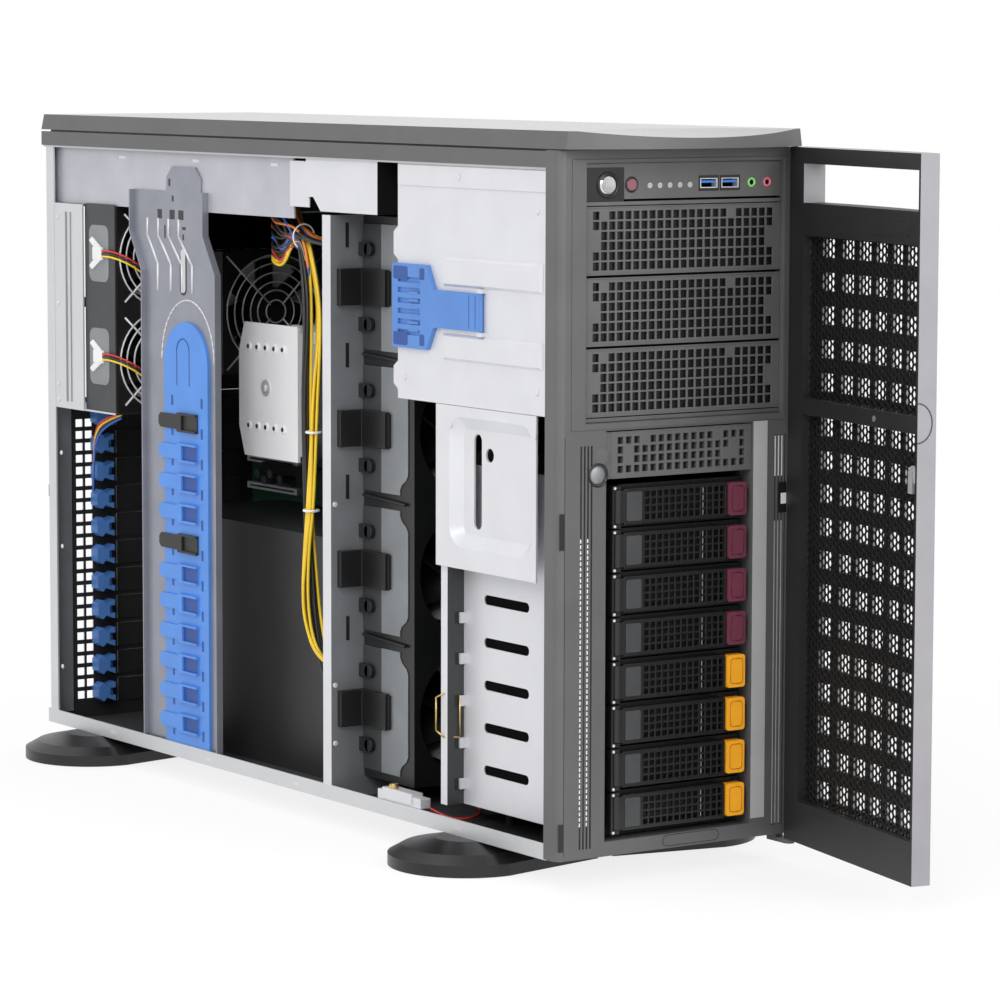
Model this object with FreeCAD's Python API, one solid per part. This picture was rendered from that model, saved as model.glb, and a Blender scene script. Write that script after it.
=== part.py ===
"""Tower GPU server with its left side open and its front door swung wide, in millimetres.

The model is drawn from the front bezel: x = 0 is the middle of the tower, y = 0 the bezel's
front face with +Y towards the rear, and z = 0 the bezel's underside. Each piece is then moved
so that the part's origin lies on the floor under the middle of the machine.
"""
import FreeCAD, Part
import math
import os

# Overall body
WIDTH = 178.0
DEPTH = 646.5
BEZEL_DEPTH = 14.0
FLOOR_TO_BEZEL = 18.0
ORIGIN_BEHIND_BEZEL = 247.9
SHEET = 1.2
STEEL_INSET = 1.5
BASE_Z = -1.0
BASE_LIP = 10.0
SEAT_GAP = 0.3
RUNNING_FIT = 0.05
HALF = WIDTH / 2.0
STEEL_HALF = HALF - STEEL_INSET

# Height of the front, from the floor of the lower bay to the roof
LOWER_FOOT = 9.0
TRAY_FOOT = 12.2
TRAY_COUNT = 8
TRAY_PITCH = 26.9
TRAY_HEIGHT = 25.9
SLIM_COVER_RISE = 4.6
SLIM_COVER_HEIGHT = 28.6
LOWER_HEADROOM = 0.9
BEZEL_RAIL = 5.0
COVER_RISE = 3.3
COVER_HEIGHT = 41.3
COVER_PITCH = 42.7
COVER_COUNT = 3
PANEL_ROOM = 26.0
BEZEL_BROW = 8.0
ROOF_DROP = 10.5
TRAY_TOP = TRAY_FOOT + (TRAY_COUNT - 1) * TRAY_PITCH + TRAY_HEIGHT
SLIM_COVER_Z = (TRAY_TOP + SLIM_COVER_RISE, TRAY_TOP + SLIM_COVER_RISE + SLIM_COVER_HEIGHT)
LOWER_Z = (LOWER_FOOT, SLIM_COVER_Z[1] + LOWER_HEADROOM)
UPPER_FOOT = LOWER_Z[1] + BEZEL_RAIL
COVER_TOP = UPPER_FOOT + COVER_RISE + (COVER_COUNT - 1) * COVER_PITCH + COVER_HEIGHT
UPPER_Z = (UPPER_FOOT, COVER_TOP + PANEL_ROOM)
BEZEL_HEIGHT = UPPER_Z[1] + BEZEL_BROW
STEEL_TOP = BEZEL_HEIGHT - ROOF_DROP
ROOF_UNDERSIDE = STEEL_TOP - SHEET

# Depth from the rear wall
REAR_INSET = 4.0
REAR_PANEL_Y = DEPTH - REAR_INSET - SHEET

# Feet
FOOT_FROM_FRONT = 106.0
FOOT_FROM_REAR = 61.5
FOOT_Y = (FOOT_FROM_FRONT, DEPTH - FOOT_FROM_REAR)
FOOT_RADIUS = 49.0
FOOT_OUTREACH = 44.0
FOOT_TIP_X = HALF + FOOT_OUTREACH
FOOT_INNER_X = 6.0
FOOT_INNER_HALF = 34.0
FOOT_RIM = 7.5
FOOT_SHOULDER = 12.5
FOOT_SHOULDER_INSET = 9.0
FOOT_CROWN_INSET = 30.0

# Top cover
BAND_HEIGHT = 9.9
BAND_WALL = 3.0
CAP_GROOVE = 0.7
CAP_THICK = 10.8
CAP_BOTTOM = BEZEL_HEIGHT + CAP_GROOVE
CAP_TOP = CAP_BOTTOM + CAP_THICK
CAP_NECK_INSET = 5.0
CAP_FRONT_END_Y = -7.0
CAP_FRONT_MID_Y = -28.0
CAP_LIP_END = 10.0
CAP_LIP_MID = 6.5
CAP_SCOOP_LENGTH = 60.0
CAP_TAPER = 1.5

# Front bezel
BEZEL_WALL = 3.0
BEZEL_CORNER = 5.0
UPPER_LEFT = 20.2
UPPER_RIGHT = 8.9
UPPER_X = (UPPER_LEFT - HALF, HALF - UPPER_RIGHT)
LOWER_X = (-53.5, 58.2)
VENT_LEFT = 16.4
VENT_RIGHT = 13.6
VENT_FOOT = 6.0
VENT_DROP = 8.5
VENT_LEFT_X = VENT_LEFT - HALF
VENT_RIGHT_X = HALF - VENT_RIGHT
VENT_Z = (VENT_FOOT, LOWER_Z[1] - VENT_DROP)
VENT_COUNT = 4
VENT_SLIT = 1.3
VENT_PITCH = 2.6
STRIKE_GAP = 6.0
STRIKE_RISE = 7.6
STRIKE_RADIUS = 6.0
STRIKE_X = LOWER_X[0] - STRIKE_GAP
STRIKE_Z = TRAY_TOP + STRIKE_RISE

# Control panel and bay covers
PANEL_Y = (2.5, 8.0)
PANEL_HEIGHT = 21.5
BUTTON_DROP = 13.2
BUTTON_Z = UPPER_Z[1] - BUTTON_DROP
POWER_X = -51.8
POWER_RADIUS = 6.0
RESET_X = -34.0
RESET_RADIUS = 3.6
BUTTON_FACE_Y = 1.2
BUTTON_LENGTH = 8.5
BUTTON_TRAVEL = 1.5
LED_X = (-20.3, -12.7, -5.2, 2.4, 9.9)
LED_RADIUS = 1.2
USB_X = (24.3, 40.6)
USB_SIZE = (13.4, 6.2)
AUDIO_X = (57.3, 69.4)
AUDIO_RADIUS = 3.1
COVER_Y = (2.0, 5.0)
COVER_GRID = (11, 3)
SLIM_GRID = (8, 2)
GRID_BAR = 1.7

# Drive trays, levers and release tabs
TRAY_X = (-47.5, 55.9)
TRAY_LENGTH = 150.0
TRAY_FACE_Y = 9.0
TRAY_FACE_BACK = 12.0
TRAY_RAIL = 1.5
TRAY_RAIL_Z = (3.0, 23.0)
TRAY_TRAVEL = 120.0
DRIVE_Y = (22.0, 146.0)
DRIVE_Z = (4.0, 22.0)
LEVER_Y = (1.5, 8.5)
LEVER_RIGHT = 39.6
LEVER_MARGIN = 2.0
LEVER_PIVOT_X = -42.0
LEVER_SHELL = 2.2
LEVER_PIN_RADIUS = 1.2
LEVER_PIN_LENGTH = 3.5
LEVER_EAR = 2.5
LEVER_EAR_RADIUS = 3.0
LEVER_EAR_BEVEL = 1.76
LEVER_GRID_X = (-17.0, 36.0)
LEVER_GRID = (7, 2)
TAB_X = (40.6, 54.6)
TAB_HEIGHT = 20.4
TAB_Y = (1.0, 7.0)
TAB_STEM_RADIUS = 2.0
TAB_STEM_REACH = 0.2
TAB_STEM_END = TRAY_FACE_BACK + TAB_STEM_REACH

# Drive cage and upper cage
CAGE_LEFT = 17.5
CAGE_RIGHT = 5.4
CAGE_OUTER_X = (CAGE_LEFT - STEEL_HALF, STEEL_HALF - CAGE_RIGHT)
CAGE_GUIDE_GAP = 0.5
CAGE_DEPTH_LEFT = 130.0
CAGE_DEPTH = 156.0
CAGE_RISE = 3.6
CAGE_TOP = TRAY_TOP + CAGE_RISE
CAGE_FLOOR_Z = 9.5
CAGE_SKIRT_Z = 15.0
CAGE_POST_RADIUS = 3.0
CAGE_POST_X = (-40.0, 60.0)
CAGE_POST_Y = (45.0, 120.0)
CAGE_FLANGE = 12.5
CAGE_FLANGE_X = CAGE_OUTER_X[0] - CAGE_FLANGE
CAGE_RETURN = 6.0
CAGE_SLOT_Y = (57.0, 106.0)
CAGE_SLOT_HEIGHT = 6.2
CAGE_SLOT_RISE = 0.8
LEDGE_DEPTH = 2.4
LEDGE_HEIGHT = 1.6
PLATE_INSET = 2.5
PLATE_X = PLATE_INSET - STEEL_HALF
UPPER_CAGE_REAR = 180.0
UPPER_CAGE_RISE = 3.8
UPPER_CAGE_FLOOR = UPPER_Z[0] + UPPER_CAGE_RISE
RIB_Y = (20.0, 127.0)
RIB_RISE = ((73.7, 91.7), (27.7, 44.2))
RIB_HEIGHT = 2.0
BUMP_RISE = ((87.7, 108.7), (5.7, 23.7))
BUMP_REACH = 5.0
SIDE_PLATE_Y = (27.0, 136.5)
SIDE_PLATE_HEIGHT = 101.5
SIDE_PLATE_TOP = UPPER_CAGE_FLOOR - SEAT_GAP
SIDE_PLATE_FOOT = SIDE_PLATE_TOP - SIDE_PLATE_HEIGHT
DISH_FRONT = 4.0
DISH_REAR = 15.1
DISH_FOOT = 13.7
DISH_HEAD = 6.5
DISH_Y = (SIDE_PLATE_Y[0] + DISH_FRONT, SIDE_PLATE_Y[1] - DISH_REAR)
DISH_Z = (SIDE_PLATE_FOOT + DISH_FOOT, SIDE_PLATE_TOP - DISH_HEAD)
DISH_DEPTH = 6.0
DISH_SLOPE = 7.6
DISH_CORNER = 13.0
DISH_SLOT_FROM_REAR = 23.1
DISH_SLOT_MARGIN = (11.5, 10.3)
DISH_SLOT_WIDTH = 8.4
DISH_HOLE_FROM_SLOT = 13.0
DISH_HOLE_FROM_TOP = 22.5
DISH_HOLE_RADIUS = 4.3
DISH_SLOT_Y = DISH_Y[1] - DISH_SLOT_FROM_REAR
DISH_SLOT_Z = (DISH_Z[0] + DISH_SLOT_MARGIN[0], DISH_Z[1] - DISH_SLOT_MARGIN[1])
DISH_HOLE = (DISH_SLOT_Y - DISH_HOLE_FROM_SLOT, DISH_Z[1] - DISH_HOLE_FROM_TOP)

# Blue cage latch
LATCH_LIFT = 0.3
LATCH_THICK = 2.9
LATCH_PIVOT_Y = 84.0
LATCH_PIVOT_LIFT = 1.7
LATCH_X = (PLATE_X - SHEET - LATCH_LIFT - LATCH_THICK, PLATE_X - SHEET - LATCH_LIFT)
LATCH_PIVOT_X = PLATE_X - SHEET - LATCH_PIVOT_LIFT
LATCH_PIN_RADIUS = 1.0
LATCH_TONGUE_RISE = (47.2, 70.7)
LATCH_TONGUE_Z = (UPPER_CAGE_FLOOR + LATCH_TONGUE_RISE[0], UPPER_CAGE_FLOOR + LATCH_TONGUE_RISE[1])
LATCH_GRIP_Y = (143.0, 182.0)
LATCH_GRIP_RISE = (32.7, 85.7)
LATCH_GRIP_Z = (UPPER_CAGE_FLOOR + LATCH_GRIP_RISE[0], UPPER_CAGE_FLOOR + LATCH_GRIP_RISE[1])
LATCH_NECK_Y = 135.0
LATCH_EAR = 2.6
LATCH_RIB_COUNT = 6

# Fan wall and mid fans
FAN_WALL_Y = 258.0
FAN_WALL_FLANGE = 10.0
FAN_WALL_HEADROOM = 0.5
MID_FAN_COUNT = 4
MID_FAN_SIZE = 92.0
MID_FAN_X = -16.0
MID_FAN_FOOT = 13.5
MID_FAN_FIRST_Z = MID_FAN_FOOT + MID_FAN_SIZE / 2.0
FAN_WALL_TOP = MID_FAN_FOOT + MID_FAN_COUNT * MID_FAN_SIZE + FAN_WALL_HEADROOM
MID_FAN_DEPTH = 60.0
MID_FAN_BORE = 41.5
FAN_CLIP_REACH = 14.0
FAN_CLIP_LENGTH = 34.0
FAN_CLIP_HEIGHT = 22.0
FAN_CLIP_THICK = 3.0

# Rear fans
REAR_FAN_COUNT = 2
REAR_FAN_SIZE = 73.0
REAR_FAN_INSET = 40.5
REAR_FAN_FROM_REAR = 95.3
REAR_FAN_DEPTH = 44.0
REAR_FAN_X = REAR_FAN_INSET - STEEL_HALF
REAR_FAN_Y = REAR_PANEL_Y - REAR_FAN_FROM_REAR
REAR_FAN_BORE = 34.5

# All fans
FAN_HUB_SHARE = 0.42
FAN_TIP_GAP = 1.0
FAN_BLADES = 7
FAN_BLADE_THICK = 1.6
FAN_BLADE_PITCH = 40.0
FAN_BLADE_CHORD = 0.42
FAN_SHAFT_RADIUS = 2.0
FAN_ARM = 4.0
FAN_MOTOR_PLATE = 3.0

# Power supplies in the upper rear
PSU_BAY_DEPTH = 261.3
PSU_WIDTH = 75.0
PSU_HEIGHT = 37.0
PSU_TRAVEL = 250.0
PSU_CLEAR = 0.3
PSU_HEADROOM = 1.0
PSU_TAB = 21.0
PSU_TAB_HEIGHT = 24.0
PSU_RAIL_INSET = 5.9
PSU_RAIL_REACH = 70.0
PSU_RAIL_X = PSU_RAIL_INSET - STEEL_HALF
PSU_FLOOR = ROOF_UNDERSIDE - PSU_HEADROOM - 2.0 * PSU_CLEAR - PSU_HEIGHT - SHEET
PSU_FRONT_Y = REAR_PANEL_Y - PSU_BAY_DEPTH
PSU_INLET = (24.0, 20.0, 12.0)
CABLE_BRACKET_Y = (204.0, 290.0)
CABLE_BRACKET_RISE = 2.0
CABLE_BRACKET_BOTTOM = FAN_WALL_TOP + CABLE_BRACKET_RISE

# Rear panel
REAR_POST = 15.0
FAN_BAY_PLATE_INSET = 1.5
FAN_BAY_PLATE_Y = REAR_FAN_Y + REAR_FAN_DEPTH
FAN_BAY_PLATE_X = FAN_BAY_PLATE_INSET - STEEL_HALF
SLOT_COUNT = 11
SLOT_PITCH = 20.32
SLOT_FIRST_Z = 18.9
SLOT_SPAN = (55.5, 15.5)
SLOT_X = (SLOT_SPAN[0] - STEEL_HALF, STEEL_HALF - SLOT_SPAN[1])
SLOT_OPEN = 13.0
SLOT_COVER = 17.0
IO_SPAN = (47.5, 3.5)
IO_DROP = (142.0, 6.0)
IO_X = (STEEL_HALF - IO_SPAN[0], STEEL_HALF - IO_SPAN[1])
IO_Z = (PSU_FLOOR - IO_DROP[0], PSU_FLOOR - IO_DROP[1])
PERF_INSET = 21.5
PERF_X = PERF_INSET - STEEL_HALF
PERF_Z = 14.0
PERF_ROWS = 24
PERF_HOLE = 5.6
PERF_PITCH = (7.6, 8.7)

# Boards, coolers and shroud
BOARD_INSET = 9.5
BOARD_THICK = 1.6
BOARD_FRONT_GAP = 25.8
BOARD_REAR_GAP = 9.3
BOARD_FOOT = 16.0
BOARD_HEADROOM = 6.0
STANDOFF_RADIUS = 3.0
STANDOFF_START = (15.0, 14.0)
STANDOFF_STEP = 165.0
STANDOFF_END = (12.0, 10.0)
BOARD_X = STEEL_HALF - BOARD_INSET
BOARD_Y = (FAN_WALL_Y + SHEET + BOARD_FRONT_GAP, REAR_PANEL_Y - BOARD_REAR_GAP)
BOARD_Z = (BOARD_FOOT, PSU_FLOOR - BOARD_HEADROOM)
STANDOFF_FIRST = (BOARD_Y[0] + STANDOFF_START[0], BOARD_Z[0] + STANDOFF_START[1])
STANDOFF_Y = (STANDOFF_FIRST[0], STANDOFF_FIRST[0] + STANDOFF_STEP, BOARD_Y[1] - STANDOFF_END[0])
STANDOFF_Z = (STANDOFF_FIRST[1], STANDOFF_FIRST[1] + STANDOFF_STEP, BOARD_Z[1] - STANDOFF_END[1])
CARD_SOCKET_LENGTH = 180.0
CARD_SOCKET_REAR_GAP = 32.0
CARD_SOCKET_Y = (BOARD_Y[1] - CARD_SOCKET_REAR_GAP - CARD_SOCKET_LENGTH, BOARD_Y[1] - CARD_SOCKET_REAR_GAP)
CARD_SOCKET_HEIGHT = 11.0
CARD_SOCKET_WIDTH = 7.5
CARD_SOCKETS = (0, 2, 4, 6, 8)
COOLER_HEIGHT = 124.0
COOLER_TOP_X = BOARD_X - COOLER_HEIGHT
COOLER_PLATE = 2.0
COOLER_FINS = 9
COOLER_FIN_CUT = 8.0
COOLER_FAN_SIZE = 86.0
COOLER_FAN_DEPTH = 25.0
COOLER_FAN_BORE = 40.5
COOLER_FAN_X = 12.0
COOLER_WIDTH = 92.0
COOLER_A_DEPTH = 77.0
COOLER_B_DEPTH = 30.0
COOLER_GAP = 47.0
COOLER_REAR_GAP = 1.0
COOLER_A_DROP = 70.0
COOLER_B_DROP = 22.0
COOLER_B_Y = REAR_FAN_Y - COOLER_REAR_GAP - COOLER_B_DEPTH - COOLER_FAN_DEPTH
COOLER_A_Y = COOLER_B_Y - COOLER_GAP - COOLER_A_DEPTH - COOLER_FAN_DEPTH
COOLER_A = {"fan_y": COOLER_A_Y, "depth": COOLER_A_DEPTH,
            "z": (BOARD_Z[1] - COOLER_A_DROP - COOLER_WIDTH, BOARD_Z[1] - COOLER_A_DROP)}
COOLER_B = {"fan_y": COOLER_B_Y, "depth": COOLER_B_DEPTH,
            "z": (BOARD_Z[1] - COOLER_B_DROP - COOLER_WIDTH, BOARD_Z[1] - COOLER_B_DROP)}
SHROUD_SPAN = (35.5, 41.5)
SHROUD_X = (SHROUD_SPAN[0] - STEEL_HALF, STEEL_HALF - SHROUD_SPAN[1])
SHROUD_LENGTH = 280.0
SHROUD_TOP = 164.0
SHROUD_WALL = 2.0

# Card bracket, blue strip and holders
BRACKET_INSET = 3.5
BRACKET_FLANGE = 3.6
BRACKET_WIDTH = 101.0
BRACKET_FROM_REAR = 135.3
BRACKET_JOG = 16.0
BRACKET_JOG_DROP = (83.0, 57.0)
BRACKET_SHOULDER_DROP = 28.0
BRACKET_TOP_DROP = 11.0
BRACKET_TAB = (24.0, 71.0)
BRACKET_X = BRACKET_INSET - STEEL_HALF
BRACKET_REAR = REAR_PANEL_Y - BRACKET_FROM_REAR
BRACKET_FRONT = BRACKET_REAR - BRACKET_WIDTH
BRACKET_LOW_Y = (BRACKET_FRONT, BRACKET_REAR)
BRACKET_HIGH_Y = (BRACKET_FRONT + BRACKET_JOG, BRACKET_REAR + BRACKET_JOG)
BRACKET_JOG_Z = (STEEL_TOP - BRACKET_JOG_DROP[0], STEEL_TOP - BRACKET_JOG_DROP[1])
BRACKET_SHOULDER_Z = STEEL_TOP - BRACKET_SHOULDER_DROP
BRACKET_TOP_Z = STEEL_TOP - BRACKET_TOP_DROP
BRACKET_TAB_Y = (BRACKET_FRONT + BRACKET_TAB[0], BRACKET_FRONT + BRACKET_TAB[1])
STRIP_SPAN = (13.0, 72.0)
STRIP_RISE = 69.0
STRIP_THICK = 2.0
HOLDER_RISE = 10.9
HOLDER_PITCH = 20.9
HOLDER_COUNT = SLOT_COUNT
HOLDER_SPAN = (26.0, 51.0)
HOLDER_TAB_REACH = 73.0
STRIP_Y = (BRACKET_FRONT + STRIP_SPAN[0], BRACKET_FRONT + STRIP_SPAN[1])
HOLDER_TOP = SLOT_FIRST_Z + (SLOT_COUNT - 1) * SLOT_PITCH + HOLDER_RISE
STRIP_TOP = HOLDER_TOP + STRIP_RISE
HOLDER_Y = (BRACKET_FRONT + HOLDER_SPAN[0], BRACKET_FRONT + HOLDER_SPAN[1])
HOLDER_HEIGHT = 13.0
HOLDER_THICK = 2.6
HOLDER_TAB_Y = BRACKET_FRONT + HOLDER_TAB_REACH
HOLDER_TAB_RADIUS = 5.0
CLIP_SPAN = (33.5, 47.5)
CLIP_X = (CLIP_SPAN[0] - STEEL_HALF, CLIP_SPAN[1] - STEEL_HALF)
CLIP_DEPTH = 10.0
CLIP_HEIGHT = 14.0

# Front door, drawn closed and then swung to its rest angle
DOOR_AXIS_INSET = 2.5
DOOR_AXIS_AHEAD = 4.3
DOOR_BARREL = 3.5
DOOR_FREE_GAP = 9.4
DOOR_FOOT = -2.4
DOOR_HEAD = 0.3
DOOR_AXIS = (HALF - DOOR_AXIS_INSET, -DOOR_AXIS_AHEAD)
DOOR_FREE_S = WIDTH - DOOR_AXIS_INSET - DOOR_FREE_GAP
DOOR_Z = (DOOR_FOOT, BEZEL_HEIGHT + DOOR_HEAD)
DOOR_EDGE_T = 8.9
DOOR_BOW_T = 14.0
DOOR_SHELL = 2.6
DOOR_WALL = 2.2
DOOR_POST_S = 18.0
DOOR_REST_ANGLE = 78.6
DOOR_PIN_RADIUS = 1.5
DOOR_PIN_LENGTH = 7.0
DOOR_WINDOW_DROP = 9.8
DOOR_WINDOW_HEIGHT = 24.0
DOOR_TOP_RAIL = 20.0
DOOR_BOTTOM_RAIL = 26.4
DOOR_MID_BAR = 10.0
DOOR_MID_BAR_RISE = 0.5
DOOR_WINDOW_Z = (DOOR_Z[1] - DOOR_WINDOW_DROP - DOOR_WINDOW_HEIGHT, DOOR_Z[1] - DOOR_WINDOW_DROP)
DOOR_MESH_Z = (DOOR_Z[0] + DOOR_BOTTOM_RAIL, DOOR_WINDOW_Z[0] - DOOR_TOP_RAIL)
DOOR_MID_BAR_Z = (UPPER_Z[0] + DOOR_MID_BAR_RISE, UPPER_Z[0] + DOOR_MID_BAR_RISE + DOOR_MID_BAR)
DOOR_FIRST_COLUMN = 30.8
DOOR_COLUMN_PITCH = 20.4
DOOR_CELL = (14.0, 11.5)
DOOR_ROW_PITCH = 20.6
DOOR_ROW_MARGIN = 1.9
DOOR_MESH_T = 1.2
MESH_THICK = 1.0
HINGE_LUG = 3.0
LOCK_FROM_FREE_EDGE = 13.1
LOCK_RISE = 7.0
LOCK_S = DOOR_FREE_S - LOCK_FROM_FREE_EDGE
LOCK_Z = STRIKE_Z + LOCK_RISE
LOCK_RADIUS = 5.5
LOCK_BOSS = 8.5
LOCK_CAM = (11.0, 5.0, 1.8)

# Wire bundles inside, each from the supplies' power board to a plug on the fan wall
BUNDLE_END_Y = FAN_WALL_Y + SHEET
BUNDLE_START_Y = PSU_FRONT_Y - 1.6
BUNDLES = {
    "supply": (16.0, ((-52.0, BUNDLE_START_Y, 396.0), (-52.0, 348.0, 396.0), (-66.0, 318.0, 366.0),
                      (-70.0, 282.0, 362.0), (-70.0, BUNDLE_END_Y, 362.0))),
    "power": (9.0, ((-69.0, 318.0, 366.0), (-73.0, 303.0, 320.0), (-74.0, 301.0, 230.0),
                    (-72.0, 302.0, 130.0), (-68.0, 288.0, 54.0), (-68.0, BUNDLE_END_Y, 54.0))),
    "yellow": (8.0, ((-69.0, 316.0, 366.0), (-76.0, 294.0, 318.0), (-78.0, 288.0, 225.0),
                     (-77.0, 289.5, 130.0), (-73.0, 282.0, 86.0), (-73.0, BUNDLE_END_Y, 86.0))),
}
BEND_SHARE = 0.45

BASE_TOP = BASE_Z + SHEET


def vec(x, y, z):
    return FreeCAD.Vector(x, y, z)


def block(x0, x1, y0, y1, z0, z1):
    """A box between two corners."""
    return Part.makeBox(x1 - x0, y1 - y0, z1 - z0, vec(x0, y0, z0))


def rod(axis, a, b, radius, start, end):
    """A cylinder along x, y or z; a and b are its centre on the other two axes, in order."""
    places = {"x": vec(start, a, b), "y": vec(a, start, b), "z": vec(a, b, start)}
    directions = {"x": vec(1, 0, 0), "y": vec(0, 1, 0), "z": vec(0, 0, 1)}
    return Part.makeCylinder(radius, end - start, places[axis], directions[axis])


def prism(axis, points, start, end):
    """A polygon drawn on the other two axes, in order, and drawn out along one axis."""
    lift = {"x": lambda a, b: vec(start, a, b), "y": lambda a, b: vec(a, start, b),
            "z": lambda a, b: vec(a, b, start)}[axis]
    outline = [lift(a, b) for a, b in points]
    outline.append(outline[0])
    run = {"x": vec(1, 0, 0), "y": vec(0, 1, 0), "z": vec(0, 0, 1)}[axis]
    return Part.Face(Part.makePolygon(outline)).extrude(run * (end - start))


def edge_prism(edges, run):
    """A closed chain of edges drawn out along a vector."""
    return Part.Face(Part.Wire(edges)).extrude(run)


def oblong(y0, y1, middle_z, height, x0, x1):
    """A slot with round ends that runs along y and passes through along x."""
    radius = height / 2.0
    straight = block(x0, x1, y0 + radius, y1 - radius, middle_z - radius, middle_z + radius)
    ends = [rod("x", y, middle_z, radius, x0, x1) for y in (y0 + radius, y1 - radius)]
    return straight.fuse(ends)


def joined(first, *others):
    return first.fuse(list(others)).removeSplitter()


def grid_cutters(x_span, z_span, counts, bar, y_span):
    """Windows that fill a rectangle evenly, with bars of one width between them."""
    columns, rows = counts
    step_x = (x_span[1] - x_span[0] + bar) / columns
    step_z = (z_span[1] - z_span[0] + bar) / rows
    cutters = []
    for column in range(columns):
        for row in range(rows):
            x = x_span[0] + column * step_x
            z = z_span[0] + row * step_z
            cutters.append(block(x, x + step_x - bar, y_span[0], y_span[1], z, z + step_z - bar))
    return cutters


def save(name, *solids):
    """Move a piece from the bezel's frame to the part's frame and write it."""
    shape = Part.makeCompound(list(solids)) if len(solids) > 1 else solids[0].copy()
    shape.translate(vec(0, -ORIGIN_BEHIND_BEZEL, FLOOR_TO_BEZEL))
    shape.exportStep(os.path.join("parts", name + ".step"))


# Casing


def foot_outline(y, side, inset, z):
    """A foot in plan: a round outer end that narrows towards the middle of the machine."""
    centre_x = side * (FOOT_TIP_X - FOOT_RADIUS)
    inner_x = side * FOOT_INNER_X
    wide, narrow = FOOT_RADIUS - inset, FOOT_INNER_HALF - inset
    front, back = vec(centre_x, y - wide, z), vec(centre_x, y + wide, z)
    inner_front, inner_back = vec(inner_x, y - narrow, z), vec(inner_x, y + narrow, z)
    tip = vec(side * (FOOT_TIP_X - inset), y, z)
    return Part.Wire([Part.Arc(front, tip, back).toShape(),
                      Part.LineSegment(back, inner_back).toShape(),
                      Part.LineSegment(inner_back, inner_front).toShape(),
                      Part.LineSegment(inner_front, front).toShape()])


def foot(y, side):
    """One foot: an upright rim on the floor, a rounded shoulder and a crown under the steel base."""
    floor = -FLOOR_TO_BEZEL
    levels = [(0.0, floor), (0.0, floor + FOOT_RIM), (FOOT_SHOULDER_INSET, floor + FOOT_SHOULDER),
              (FOOT_CROWN_INSET, BASE_Z)]
    outlines = [foot_outline(y, side, inset, z) for inset, z in levels]
    return Part.makeLoft(outlines, True, True)


def chassis_body():
    """Folded steel body: base with its lip, right wall and roof, with the board's standoffs."""
    base = block(-STEEL_HALF, STEEL_HALF, BEZEL_DEPTH, DEPTH, BASE_Z, BASE_TOP)
    lip = block(-STEEL_HALF, SHEET - STEEL_HALF, BEZEL_DEPTH, DEPTH, BASE_Z, BASE_Z + BASE_LIP)
    wall = block(STEEL_HALF - SHEET, STEEL_HALF, BEZEL_DEPTH, DEPTH, BASE_Z, STEEL_TOP)
    roof = block(-STEEL_HALF, STEEL_HALF, BEZEL_DEPTH, DEPTH, ROOF_UNDERSIDE, STEEL_TOP)
    standoffs = []
    for y in STANDOFF_Y:
        for z in STANDOFF_Z:
            hexagon = [(y + STANDOFF_RADIUS * math.cos(math.pi * k / 3.0),
                        z + STANDOFF_RADIUS * math.sin(math.pi * k / 3.0)) for k in range(6)]
            standoffs.append(prism("x", hexagon, BOARD_X + BOARD_THICK, STEEL_HALF - SHEET))
    return joined(base, lip, wall, roof, *standoffs)


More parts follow.
